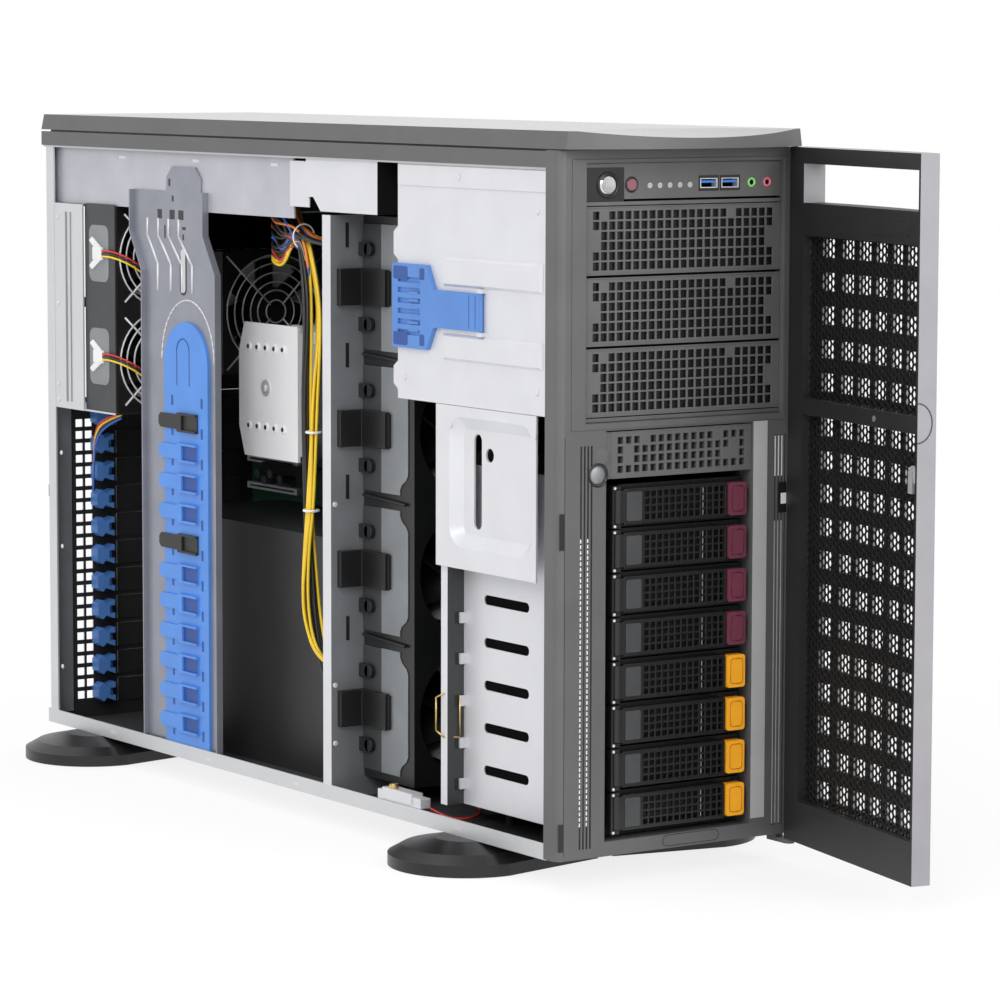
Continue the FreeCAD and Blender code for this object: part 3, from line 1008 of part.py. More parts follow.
def rear_panel():
    """Rear wall with card slots, fan openings, the board's connector opening and the supply bays."""
    left, right = SHEET - STEEL_HALF, STEEL_HALF - SHEET
    y0, y1 = REAR_PANEL_Y, REAR_PANEL_Y + SHEET
    wall = block(left, right, y0, y1, BASE_TOP, ROOF_UNDERSIDE)
    through = (y0 - 1, y1 + 1)
    supply_x = SHEET / 2.0 + PSU_WIDTH + 2.0 * PSU_CLEAR
    cutters = [block(-supply_x, supply_x, through[0], through[1], PSU_FLOOR + SHEET,
                     PSU_FLOOR + SHEET + PSU_HEIGHT + 2.0 * PSU_CLEAR),
               block(IO_X[0], IO_X[1], through[0], through[1], IO_Z[0], IO_Z[1])]
    cutters += [rod("y", x, z, REAR_FAN_BORE, *through) for x, z, _ in rear_fans()]
    for index in range(SLOT_COUNT):
        z = slot_z(index)
        cutters.append(block(SLOT_X[0], SLOT_X[1], through[0], through[1],
                             z - SLOT_OPEN / 2, z + SLOT_OPEN / 2))
    for column in range(2):
        for row in range(PERF_ROWS):
            x = PERF_X + column * PERF_PITCH[0]
            z = PERF_Z + row * PERF_PITCH[1]
            cutters.append(block(x, x + PERF_HOLE, through[0], through[1], z, z + PERF_HOLE))
    wall = wall.cut(Part.makeCompound(cutters))
    post = block(left - SHEET, left, DEPTH - REAR_POST, y1, BASE_Z + BASE_LIP, ROOF_UNDERSIDE)
    bay_floor = PSU_FLOOR - REAR_FAN_COUNT * REAR_FAN_SIZE
    bay_right = REAR_FAN_X + REAR_FAN_SIZE / 2.0
    bay_plate = joined(block(FAN_BAY_PLATE_X - SHEET, FAN_BAY_PLATE_X, FAN_BAY_PLATE_Y, y0,
                             bay_floor - SHEET, PSU_FLOOR),
                       block(FAN_BAY_PLATE_X, bay_right + SHEET, REAR_FAN_Y, y0,
                             bay_floor - SHEET, bay_floor),
                       block(bay_right, bay_right + SHEET, REAR_FAN_Y, y0, bay_floor, PSU_FLOOR))
    covers = [block(SLOT_X[0] - 1.0, SLOT_X[1] + 1.0, y0 - SHEET, y0,
                    slot_z(index) - SLOT_COVER / 2, slot_z(index) + SLOT_COVER / 2)
              for index in range(SLOT_COUNT)]
    return [joined(wall, post, bay_plate)] + covers


def slot_clips():
    """Blue tool-less clips that hold the card brackets, one at each slot."""
    clips = []
    back = REAR_PANEL_Y
    for index in range(SLOT_COUNT):
        low = slot_z(index) - CLIP_HEIGHT / 2.0
        high = low + CLIP_HEIGHT
        waist = (CLIP_X[0] + CLIP_X[1]) / 2.0
        notch = CLIP_HEIGHT / 5.0
        outline = [(CLIP_X[0], low + notch), (waist - notch, low), (waist, low + notch),
                   (CLIP_X[1], low), (CLIP_X[1], high), (waist, high - notch), (waist - notch, high),
                   (CLIP_X[0], high - notch)]
        clip = prism("y", outline, back - CLIP_DEPTH, back)
        clips.append(clip.cut(block(waist + notch, CLIP_X[1] + 1, back - CLIP_DEPTH - 1,
                                    back - CLIP_DEPTH * 0.6, low + 1.5 * notch, high - 1.5 * notch)))
    return clips


# Boards, coolers and card support


def circuit_boards():
    """Main board with its card sockets, the drives' backplane and the supplies' power board."""
    board = block(BOARD_X, BOARD_X + BOARD_THICK, BOARD_Y[0], BOARD_Y[1], BOARD_Z[0], BOARD_Z[1])
    sockets = [block(BOARD_X - CARD_SOCKET_HEIGHT, BOARD_X, CARD_SOCKET_Y[0], CARD_SOCKET_Y[1],
                     slot_z(index) - CARD_SOCKET_WIDTH / 2, slot_z(index) + CARD_SOCKET_WIDTH / 2)
               for index in CARD_SOCKETS]
    backplane = block(CAGE_OUTER_X[0] + 4.0, CAGE_OUTER_X[1] - 4.0, CAGE_DEPTH,
                      CAGE_DEPTH + BOARD_THICK, CAGE_FLOOR_Z + SHEET, CAGE_TOP)
    power = block(-PSU_WIDTH, PSU_WIDTH, PSU_FRONT_Y - BOARD_THICK, PSU_FRONT_Y,
                  PSU_FLOOR + SHEET, ROOF_UNDERSIDE - 2.0)
    return joined(board, *sockets), backplane, power


def cooler(spec):
    """One processor cooler: finned block with its cover plate, and the fan frame in front of it."""
    y0 = spec["fan_y"] + COOLER_FAN_DEPTH
    y1 = y0 + spec["depth"]
    z0, z1 = spec["z"]
    corner = spec["depth"] * 0.16
    plate = prism("x", [(y0, z0), (y1 - corner * 0.6, z0), (y1, z0 + corner * 1.6),
                        (y1, z1 - corner * 1.6), (y1 - corner * 0.6, z1), (y0, z1)],
                  COOLER_TOP_X, COOLER_TOP_X + COOLER_PLATE)
    inset = 4.0
    core_x0, core_x1 = COOLER_TOP_X + COOLER_PLATE, BOARD_X
    core = block(core_x0, core_x1, y0, y1 - inset, z0 + inset, z1 - inset)
    pitch = (core_x1 - core_x0) / (COOLER_FINS + 1.0)
    cuts = []
    for index in range(COOLER_FINS):
        x = core_x0 + (index + 0.5) * pitch
        for low, high in ((z0, z0 + inset + COOLER_FIN_CUT), (z1 - inset - COOLER_FIN_CUT, z1)):
            cuts.append(block(x, x + pitch * 0.6, y0 - 1, y1, low, high))
    block_solid = joined(core.cut(Part.makeCompound(cuts)), plate)
    frame = fan_frame(COOLER_FAN_X, (z0 + z1) / 2.0, COOLER_FAN_SIZE, spec["fan_y"],
                      COOLER_FAN_DEPTH, COOLER_FAN_BORE)
    return block_solid, frame


def air_shroud():
    """Black duct that leads the fans' air along the cards: an upright side and a flat top."""
    y0 = FAN_WALL_Y + SHEET + SEAT_GAP
    y1 = y0 + SHROUD_LENGTH
    x0, x1 = SHROUD_X
    side = block(x0, x0 + SHROUD_WALL, y0, y1, BASE_TOP, SHROUD_TOP)
    top = block(x0, x1, y0, y1, SHROUD_TOP - SHROUD_WALL, SHROUD_TOP)
    return joined(side, top)


def card_bracket():
    """Upright steel channel that braces the cards, with a jog and a tab on the supply rail."""
    x0, x1 = BRACKET_X, BRACKET_X + SHEET
    low0, low1 = BRACKET_LOW_Y
    high0, high1 = BRACKET_HIGH_Y
    jog0, jog1 = BRACKET_JOG_Z
    tab0, tab1 = BRACKET_TAB_Y
    front = [(low0, BASE_TOP), (low0, jog0), (high0, jog1), (high0, BRACKET_SHOULDER_Z)]
    rear = [(high1, BRACKET_SHOULDER_Z), (high1, jog1), (low1, jog0), (low1, BASE_TOP)]
    bevel = (high1 - tab1) / 6.0
    tab = [(tab0, BRACKET_SHOULDER_Z), (tab0, BRACKET_TOP_Z - bevel), (tab0 + bevel, BRACKET_TOP_Z),
           (tab1 - bevel, BRACKET_TOP_Z), (tab1, BRACKET_TOP_Z - bevel), (tab1, BRACKET_SHOULDER_Z)]
    web = prism("x", front + tab + rear, x0, x1)
    flange_foot = BASE_Z + BASE_LIP + SEAT_GAP
    flanges = []
    for edge, step in ((front, SHEET), (rear, -SHEET)):
        edge = [(y, max(z, flange_foot)) for y, z in edge]
        inner = [(y + step, z) for y, z in reversed(edge)]
        flanges.append(prism("x", edge + inner, x0 - BRACKET_FLANGE, x0))
    return joined(web, *flanges)


def card_strip():
    """Blue moulded strip on the channel, with a sliding holder for each card."""
    x1 = BRACKET_X
    x0 = x1 - STRIP_THICK
    y0, y1 = STRIP_Y
    radius = (y1 - y0) / 2.0
    middle = (y0 + y1) / 2.0
    strip = joined(block(x0, x1, y0, y1, BASE_TOP + SHEET, STRIP_TOP - radius),
                   rod("x", middle, STRIP_TOP - radius, radius, x0, x1))
    holders = []
    for index in range(HOLDER_COUNT):
        z = HOLDER_TOP - index * HOLDER_PITCH
        low, high = z - HOLDER_HEIGHT / 2.0, z + HOLDER_HEIGHT / 2.0
        cup = block(x0 - HOLDER_THICK, x0, HOLDER_Y[0], HOLDER_Y[1], low, high)
        pocket = block(x0 - HOLDER_THICK - 1, x0 - 1.0, HOLDER_Y[0] - 1, HOLDER_Y[1] - 6.0,
                       low + 1.5, high - 1.5)
        bar = block(x0 - HOLDER_THICK / 2.0, x0, HOLDER_Y[1], HOLDER_TAB_Y,
                    z - HOLDER_TAB_RADIUS, z + HOLDER_TAB_RADIUS)
        bend = HOLDER_TAB_RADIUS / 2.0
        end = HOLDER_TAB_Y + HOLDER_TAB_RADIUS
        tab = prism("x", [(HOLDER_TAB_Y, z - HOLDER_TAB_RADIUS), (end - bend, z - HOLDER_TAB_RADIUS),
                          (end, z - bend), (end, z + bend), (end - bend, z + HOLDER_TAB_RADIUS),
                          (HOLDER_TAB_Y, z + HOLDER_TAB_RADIUS)], x0 - HOLDER_THICK / 2.0, x0)
        holders.append(joined(cup.cut(pocket), bar, tab))
    return [strip] + holders


# Wire bundles


def bundle(diameter, points):
    """A tube along straight runs joined by tangent arcs, each as large as its two runs allow."""
    corners = [vec(*point) for point in points]
    edges = []
    start = corners[0]
    for before, corner, after in zip(corners, corners[1:], corners[2:]):
        run_in, run_out = corner - before, after - corner
        shorter = min(run_in.Length, run_out.Length)
        turn = run_in.getAngle(run_out)
        trim = BEND_SHARE * shorter
        into = FreeCAD.Vector(run_in).normalize()
        out = FreeCAD.Vector(run_out).normalize()
        arc_start, arc_end = corner - into * trim, corner + out * trim
        radius = trim / math.tan(turn / 2.0)
        bisector = (out - into).normalize()
        centre = corner + bisector * math.hypot(radius, trim)
        arc_middle = centre - bisector * radius
        edges.append(Part.LineSegment(start, arc_start).toShape())
        edges.append(Part.Arc(arc_start, arc_middle, arc_end).toShape())
        start = arc_end
    edges.append(Part.LineSegment(start, corners[-1]).toShape())
    path = Part.Wire(edges)
    section = Part.Wire(Part.makeCircle(diameter / 2.0, corners[0], corners[1] - corners[0]))
    tube = path.makePipe(Part.Face(section))
    expected = math.pi * diameter ** 2 / 4.0 * path.Length
    print("bundle", round(path.Length, 1), "mm long, volume", round(tube.Volume / expected, 4))
    return tube


# Front door


def door_arc(edge_t, bow_t, s0, s1, z):
    """The bowed line of the door's outer face, from its hinge edge to its free edge, door closed."""
    def place(s, t):
        return vec(DOOR_AXIS[0] - s, DOOR_AXIS[1] - t, z)
    return Part.Arc(place(s0, edge_t), place((s0 + s1) / 2.0, bow_t), place(s1, edge_t)).toShape()


def door_slab(inner_t, edge_t, bow_t, s0, s1, z0, z1):
    """The space between a flat inner face and a bowed outer face."""
    arc = door_arc(edge_t, bow_t, s0, s1, z0)
    inner_y = DOOR_AXIS[1] - inner_t
    hinge, free = vec(DOOR_AXIS[0] - s0, inner_y, z0), vec(DOOR_AXIS[0] - s1, inner_y, z0)
    outer_hinge = vec(DOOR_AXIS[0] - s0, DOOR_AXIS[1] - edge_t, z0)
    outer_free = vec(DOOR_AXIS[0] - s1, DOOR_AXIS[1] - edge_t, z0)
    return edge_prism([arc, Part.LineSegment(outer_free, free).toShape(),
                       Part.LineSegment(free, hinge).toShape(),
                       Part.LineSegment(hinge, outer_hinge).toShape()], vec(0, 0, z1 - z0))


def door_block(s0, s1, t0, t1, z0, z1):
    return block(DOOR_AXIS[0] - s1, DOOR_AXIS[0] - s0, DOOR_AXIS[1] - t1, DOOR_AXIS[1] - t0, z0, z1)


def swung(shape):
    """Swing a piece of the door from closed to its rest angle."""
    shape.rotate(vec(DOOR_AXIS[0], DOOR_AXIS[1], 0), vec(0, 0, 1), DOOR_REST_ANGLE)
    return shape


def door_mesh_span():
    return DOOR_POST_S, DOOR_FREE_S - DOOR_WALL


def door_frame():
    """Bowed door shell with a grid of windows, a top window, a hinge post and a lock boss."""
    inner_t = -DOOR_BARREL
    z0, z1 = DOOR_Z
    s0 = -DOOR_BARREL
    slab = door_slab(inner_t, DOOR_EDGE_T, DOOR_BOW_T, s0, DOOR_FREE_S, z0, z1)
    hinge_corner = [edge for edge in slab.Edges
                    if edge.BoundBox.ZLength > 1 and edge.BoundBox.YMin > DOOR_AXIS[1]
                    and edge.BoundBox.XMin > DOOR_AXIS[0]]
    slab = slab.makeFillet(DOOR_BARREL - RUNNING_FIT, hinge_corner)
    shell_t = DOOR_EDGE_T - DOOR_SHELL
    shell_bow = DOOR_BOW_T - DOOR_SHELL
    hollow_s0, hollow_s1 = door_mesh_span()
    cutters = []
    for low, high in ((DOOR_MESH_Z[0], DOOR_MID_BAR_Z[0]), (DOOR_MID_BAR_Z[1], DOOR_MESH_Z[1])):
        cutters.append(door_slab(inner_t - 1, shell_t, shell_bow, hollow_s0, hollow_s1, low, high))
    cutters.append(door_block(hollow_s0, hollow_s1, inner_t - 1, DOOR_BOW_T + 1,
                              DOOR_WINDOW_Z[0], DOOR_WINDOW_Z[1]))
    body = slab.cut(Part.makeCompound(cutters))
    boss = door_block(LOCK_S - LOCK_BOSS, hollow_s1, DOOR_MESH_T + MESH_THICK + 1.0, DOOR_EDGE_T,
                      LOCK_Z - LOCK_BOSS, LOCK_Z + LOCK_BOSS)
    body = body.fuse(boss)
    first_s = DOOR_FIRST_COLUMN - DOOR_CELL[0] / 2.0
    rows = []
    for low, top in ((DOOR_MID_BAR_Z[1], DOOR_MESH_Z[1]), (DOOR_MESH_Z[0], DOOR_MID_BAR_Z[0])):
        first_z = top - DOOR_ROW_MARGIN - DOOR_CELL[1]
        count = 1 + int((first_z - low) / DOOR_ROW_PITCH)
        rows += [first_z - row * DOOR_ROW_PITCH for row in range(count)]
    columns = 1 + int((hollow_s1 - DOOR_CELL[0] - first_s) / DOOR_COLUMN_PITCH)
    windows = []
    for column in range(columns):
        s = first_s + column * DOOR_COLUMN_PITCH
        for z in rows:
            near_lock = s + DOOR_CELL[0] > LOCK_S - LOCK_BOSS and abs(
                z + DOOR_CELL[1] / 2.0 - LOCK_Z) < LOCK_BOSS + DOOR_CELL[1] / 2.0
            if not near_lock:
                windows.append(door_block(s, s + DOOR_CELL[0], 0.0, DOOR_BOW_T + 1, z, z + DOOR_CELL[1]))
    windows += [rod("z", DOOR_AXIS[0], DOOR_AXIS[1], DOOR_PIN_RADIUS + RUNNING_FIT, low, high)
                for low, high in ((z0 - 1, z0 + DOOR_PIN_LENGTH + 1), (z1 - DOOR_PIN_LENGTH - 1, z1 + 1))]
    windows.append(rod("y", DOOR_AXIS[0] - LOCK_S, LOCK_Z, LOCK_RADIUS + RUNNING_FIT,
                       DOOR_AXIS[1] - DOOR_BOW_T - 1, DOOR_AXIS[1]))
    return swung(body.cut(Part.makeCompound(windows)))


def door_mesh():
    """Fine mesh panels behind the door's windows, one above and one below the middle bar."""
    s0, s1 = door_mesh_span()
    panels = []
    for low, high in ((DOOR_MESH_Z[0], DOOR_MID_BAR_Z[0]), (DOOR_MID_BAR_Z[1], DOOR_MESH_Z[1])):
        panel = door_block(s0, s1, DOOR_MESH_T, DOOR_MESH_T + MESH_THICK, low, high)
        if low < LOCK_Z < high:
            panel = panel.cut(rod("y", DOOR_AXIS[0] - LOCK_S, LOCK_Z, LOCK_BOSS,
                                  DOOR_AXIS[1] - DOOR_BOW_T, DOOR_AXIS[1]))
        panels.append(swung(panel))
    return panels


def door_lock():
    """Lock barrel through the door with a cam on its inner end."""
    cam_length, cam_width, cam_thick = LOCK_CAM
    x = DOOR_AXIS[0] - LOCK_S
    inner_y = DOOR_AXIS[1] - DOOR_MESH_T + SEAT_GAP
    barrel = rod("y", x, LOCK_Z, LOCK_RADIUS, DOOR_AXIS[1] - DOOR_EDGE_T - SHEET, inner_y)
    cam = block(x - cam_width / 2.0, x + cam_width / 2.0, inner_y, inner_y + cam_thick,
                LOCK_Z - cam_length, LOCK_Z + cam_width / 2.0)
    return swung(joined(barrel, cam))


def main():
    os.makedirs("parts", exist_ok=True)
    save("feet", *[foot(y, side) for y in FOOT_Y for side in (-1, 1)])
    save("chassis_body", chassis_body())
    save("top_cover", top_cover())
    save("front_bezel", front_bezel())
    save("control_panel", control_panel())
    save("power_button", push_button(POWER_X, POWER_RADIUS))
    save("reset_button", push_button(RESET_X, RESET_RADIUS))
    save("bay_covers", *bay_covers())
    for index in range(TRAY_COUNT):
        number = str(index + 1)
        save("drive_tray_" + number, *drive_tray(index))
        save("tray_lever_" + number, tray_lever(index))
        save("tray_release_" + number, tray_release(index))
    save("drive_cage", drive_cage())
    save("upper_cage", upper_cage())
    save("cage_latch", cage_latch())
    save("cage_side_plate", cage_side_plate())
    save("fan_wall", fan_wall())
    save("fan_housings", *fan_housings())
    fans = (("mid_fan_rotor", mid_fans(), MID_FAN_DEPTH, MID_FAN_BORE),
            ("rear_fan_rotor", rear_fans(), REAR_FAN_DEPTH, REAR_FAN_BORE),
            ("cooler_fan_rotor", cooler_fans(), COOLER_FAN_DEPTH, COOLER_FAN_BORE))
    for name, places, depth, bore in fans:
        for index, (x, z, y0) in enumerate(places):
            save(name + "_" + str(index + 1), fan_rotor(x, z, y0, depth, bore))
    save("psu_cage", *psu_cage())
    save("psu_module_1", psu_module(-1))
    save("psu_module_2", psu_module(1))
    save("rear_panel", *rear_panel())
    save("slot_clips", *slot_clips())
    save("circuit_boards", *circuit_boards())
    save("cpu_coolers", *[solid for spec in (COOLER_A, COOLER_B) for solid in cooler(spec)])
    save("air_shroud", air_shroud())
    save("card_bracket", card_bracket())
    save("card_strip", *card_strip())
    save("cable_loom", joined(*[bundle(diameter, points) for diameter, points in BUNDLES.values()]))
    save("door_frame", door_frame())
    save("door_mesh", *door_mesh())
    save("door_lock", door_lock())


main()
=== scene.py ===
"""Tower GPU server: materials, fine detail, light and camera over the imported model."""
import math
import random

import bmesh
import bpy
from mathutils import Matrix, Vector


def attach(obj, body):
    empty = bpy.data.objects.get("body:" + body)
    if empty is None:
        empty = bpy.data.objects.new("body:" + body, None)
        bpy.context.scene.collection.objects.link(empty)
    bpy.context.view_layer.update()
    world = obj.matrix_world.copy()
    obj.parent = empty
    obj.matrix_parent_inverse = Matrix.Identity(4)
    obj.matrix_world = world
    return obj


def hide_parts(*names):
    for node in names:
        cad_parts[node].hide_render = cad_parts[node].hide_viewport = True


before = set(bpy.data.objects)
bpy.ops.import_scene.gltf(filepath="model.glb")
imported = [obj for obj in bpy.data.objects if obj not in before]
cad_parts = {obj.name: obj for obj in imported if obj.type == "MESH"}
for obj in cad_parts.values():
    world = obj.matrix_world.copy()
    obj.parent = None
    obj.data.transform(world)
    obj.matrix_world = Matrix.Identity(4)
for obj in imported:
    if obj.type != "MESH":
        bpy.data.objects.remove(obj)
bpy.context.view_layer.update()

# Sizes in millimetres, drawn from the bezel's front face, as the solids are
FRONT_TO_ORIGIN = 247.9
FLOOR_TO_BEZEL = 18

# Door, closed
DOOR_AXIS = (86.5, -4.3)
DOOR_ANGLE = math.radians(78.6)
DOOR_INNER_FACE = -0.8
DOOR_FREE_EDGE = -79.62
DOOR_OPENING_S = (15, 164.5)
DOOR_OPENING_Z = (23, 421)
DOOR_SKIN_Y = -9
DOOR_TOP_WINDOW_Z = 380
MESH_S = (18, 163.9)
MESH_Z = ((24, 266), (276, 376))
MESH_BACK = 1.7
MESH_CELL = 5
MESH_WIRE = 0.7
MESH_THICK = 0.8

# Bay covers, trays and control panel
COVER_X = (-68.5, 79.8)
COVER_TOP = 395.5
COVER_HEIGHT = 41.3
COVER_PITCH = 42.7
COVER_COUNT = 3
COVER_HOLES = (23, 6)
COVER_BLANK = {(1, 5), (17, 5), (0, 3), (0, 2), (22, 3), (22, 2)}
SLIM_X = (-49, 57.9)
SLIM_Z = (231, 259.6)
SLIM_HOLES = (16, 4)
SLIM_BLANK = {(3, 3), (1, 1), (1, 2), (12, 3), (13, 1), (14, 1), (14, 2)}
TRAY_COUNT = 8
TRAY_PITCH = 26.9
TRAY_TOP = 226.4
TRAY_HEIGHT = 25.9
BURGUNDY_TRAYS = 4
LEVER_X = (-38.5, 39.6)
LEVER_GRILLE_X = -24.5
LEVER_FACE_Y = (1.5, 3.2)
LEVER_REAR_Y = 8.5
LEVER_WALL = 1.6
LEVER_PIVOT = (-42, 5)
LEVER_HOLES = (13, 4)
POWER_X = -51.8
RESET_X = -34
PANEL_Z = 408.3
PANEL_FACE = 2.2
STRIKE = (-59.5, 234)

# Inside, from the front to the rear
CAGE_PLATE = -86.2
LATCH_FACE = -89.35
FAN_MIDDLES = (59.5, 151.5, 243.5, 335.5)
FAN_HALF = 41
FAN_SIDE = -62.05
WALL_FACE = 258
LOOM_END = 260
COOLER_PLATE = -47
COOLER_FAN = (12, 304)
COOLER_GUARD_Y = 489
BRACKET_FACE = -84
STRIP_FACE = -86
STRIP_MIDDLE = 451
BOARD_FACE = 78
REAR_FAN_X = -47
REAR_FAN_Z = (341.5, 268.5)
REAR_PLUG_RISE = 2.5
REAR_GUARD_Y = 545
REAR_COVER_FACE = -85
BAY_PLATE = -87.2
REAR_EDGE = -86.9
PORT_X = (40.2, 83.8)
PORT_MIDDLE = 61
PORT_Z = (236.3, 371.7)
PORT_FACE = 641.6

# Share of a face's normal that counts as facing a direction
FACING = 0.5
FLOOR_GLOW = 0.8
GLOSS_SPREAD = 0.08
RELIEF_DEPTH = 0.0004


def metres(x, y, z):
    """A point in the bezel's millimetres as the part's metres."""
    return Vector((x / 1000, (y - FRONT_TO_ORIGIN) / 1000, (z + FLOOR_TO_BEZEL) / 1000))


DOOR_SWING = (Matrix.Translation(metres(*DOOR_AXIS, 0)) @ Matrix.Rotation(DOOR_ANGLE, 4, "Z")
              @ Matrix.Translation(-metres(*DOOR_AXIS, 0)))


def fill(tree, node, inputs):
    """Gives a shader node's inputs values or the outputs of other nodes."""
    for socket, value in inputs.items():
        if isinstance(value, bpy.types.NodeSocket):
            tree.links.new(value, node.inputs[socket])
        else:
            node.inputs[socket].default_value = value


def output(tree, kind, socket, inputs, operation=None):
    """An output of a new shader node."""
    made = tree.nodes.new("ShaderNode" + kind)
    if operation:
        made.operation = operation
    fill(tree, made, inputs)
    return made.outputs[socket]


def surface(name, colour, roughness, metal=0, vary=0.12, grain=900, bump=0.05, mottling=35, specular=0.5):
    """A material with slow colour variation, uneven gloss and a fine surface grain."""
    made = bpy.data.materials.new(name)
    made.use_nodes = True
    tree = made.node_tree
    place = output(tree, "TexCoord", "Object", {})
    slow = output(tree, "TexNoise", "Fac", {"Scale": mottling, "Detail": 4, "Vector": place})
    fine = output(tree, "TexNoise", "Fac", {"Scale": grain, "Detail": 2, "Vector": place})
    tint = output(tree, "ValToRGB", "Color", {"Fac": slow})
    steps = zip(tint.node.color_ramp.elements, (0.3, 0.7), (1 - vary, 1 + vary))
    for element, position, level in steps:
        element.position = position
        element.color = tuple(min(1, c * level) for c in colour) + (1,)
    gloss = output(tree, "MapRange", "Result", {"Value": fine, "To Min": max(0.05, roughness - GLOSS_SPREAD),
                                                "To Max": min(1, roughness + GLOSS_SPREAD)})
    relief = output(tree, "Bump", "Normal", {"Strength": bump, "Distance": RELIEF_DEPTH, "Height": fine})
    fill(tree, tree.nodes["Principled BSDF"],
         {"Metallic": metal, "Specular IOR Level": specular, "Base Color": tint, "Roughness": gloss,
          "Normal": relief})
    return made


PLATED = {"grain": 420, "bump": 0.03}
MOULDED = {"grain": 1500, "bump": 0.1}
GRAINED = {"grain": 1500, "bump": 0.12}
SMOOTH = {"grain": 1200, "bump": 0.05}
SATIN = {"grain": 700, "bump": 0.04}

STEEL = surface("plated_steel", (0.62, 0.63, 0.645), 0.42, metal=0.6, vary=0.02, **PLATED)
BRIGHT_STEEL = surface("bright_steel", (0.66, 0.662, 0.69), 0.4, metal=0.3, vary=0.03, grain=500,
                       bump=0.02)
RAIL_STEEL = surface("rail_steel", (0.48, 0.485, 0.53), 0.42, metal=0.4, vary=0.06, **PLATED)
BRACKET_STEEL = surface("bracket_steel", (0.27, 0.282, 0.325), 0.36, metal=0.45, vary=0.08, **PLATED)
MID_STEEL = surface("shaded_steel", (0.26, 0.272, 0.285), 0.45, metal=0.5, vary=0.1, **PLATED)
DARK_STEEL = surface("dark_steel", (0.055, 0.057, 0.06), 0.5, metal=0.3, vary=0.1)
# Black with no gloss: painted shade behind the drive cage's slots
PAINTED_DEEP_SHADE = surface("deep_shade", (0.003, 0.003, 0.003), 0.9, vary=0.1, specular=0.05)
# Near-black steel on faces deep in the casing: painted shade where little light reaches
PAINTED_SHADE_STEEL = surface("unlit_steel", (0.014, 0.0142, 0.015), 0.7, metal=0.2, vary=0.15)
BLACK = surface("black_plastic", (0.014, 0.014, 0.0145), 0.5, vary=0.15, **GRAINED)
SATIN_BLACK = surface("satin_black", (0.0095, 0.0095, 0.01), 0.34, vary=0.15, **SATIN)
LID_TOP = surface("lid_top", (0.11, 0.105, 0.11), 0.14, vary=0.05, grain=1500, bump=0.02, specular=0.9)
FOOT_BLACK = surface("foot_black", (0.006, 0.006, 0.0063), 0.36, vary=0.1, grain=1500, bump=0.06)
SHROUD_BLACK = surface("shroud_black", (0.02, 0.02, 0.0205), 0.45, vary=0.1, **SATIN)
CHARCOAL = surface("charcoal_plastic", (0.098, 0.096, 0.099), 0.42, vary=0.06, **MOULDED)
COVER_GREY = surface("cover_grey", (0.105, 0.102, 0.101), 0.46, vary=0.08, **GRAINED)
GREY = surface("grey_plastic", (0.275, 0.268, 0.285), 0.45, vary=0.05, **MOULDED)
PALE_GREY = surface("pale_grey_plastic", (0.42, 0.42, 0.425), 0.4, vary=0.05, grain=1200, bump=0.08)
SILVER = surface("button_silver", (0.72, 0.73, 0.74), 0.14, metal=1, vary=0.04)
RESET_RED = surface("reset_red", (0.24, 0.095, 0.115), 0.35, vary=0.08)
BLUE = surface("blue_plastic", (0.08, 0.215, 0.56), 0.42, vary=0.06, **SMOOTH)
LIGHT_BLUE = surface("light_blue_plastic", (0.075, 0.245, 0.68), 0.4, vary=0.05, **SMOOTH)
# Darker blue for pockets, grooves and slots of the blue parts: painted shade
BLUE_SHADE = surface("shaded_blue_plastic", (0.018, 0.07, 0.28), 0.5, vary=0.08)
BURGUNDY = surface("burgundy_plastic", (0.15, 0.03, 0.055), 0.42, vary=0.08, **SMOOTH)
ORANGE = surface("orange_plastic", (0.98, 0.43, 0.016), 0.42, vary=0.04, **SMOOTH)
# Darker burgundy and orange for the groove round each release tab: painted shade
BURGUNDY_GROOVE_SHADE = surface("burgundy_groove_shade", (0.05, 0.008, 0.014), 0.45, vary=0.08)
ORANGE_GROOVE_SHADE = surface("orange_groove_shade", (0.55, 0.17, 0.006), 0.45, vary=0.05)
BOARD = surface("board_green", (0.006, 0.035, 0.019), 0.4, vary=0.25, grain=260, bump=0.08, mottling=120)
ALLOY = surface("cooler_alloy", (0.90, 0.895, 0.91), 0.4, metal=0.15, vary=0.03)
BRASS = surface("brass", (0.62, 0.45, 0.18), 0.3, metal=1, vary=0.06)
WHITE = surface("white_plastic", (0.80, 0.80, 0.79), 0.45, vary=0.03, grain=1200, bump=0.04)
GREEN_LENS = surface("green_lens", (0.26, 0.74, 0.2), 0.25, vary=0.05)
PINK_LENS = surface("pink_lens", (0.80, 0.17, 0.26), 0.25, vary=0.05)
PORT_BLUE = surface("port_blue", (0.035, 0.2, 0.68), 0.4, vary=0.05)
WIRE_BLACK = surface("wire_black", (0.02, 0.02, 0.021), 0.4, vary=0.1)
WIRE_YELLOW = surface("wire_yellow", (0.85, 0.58, 0.03), 0.42, vary=0.06)
WIRE_RED = surface("wire_red", (0.55, 0.03, 0.03), 0.42, vary=0.06)
WIRE_BLUE = surface("wire_blue", (0.04, 0.12, 0.50), 0.42, vary=0.06)
WIRE_ORANGE = surface("wire_orange", (0.80, 0.22, 0.03), 0.42, vary=0.06)
MESH_BLACK = surface("mesh_black", (0.010, 0.010, 0.0105), 0.45, metal=0.3, vary=0.1)

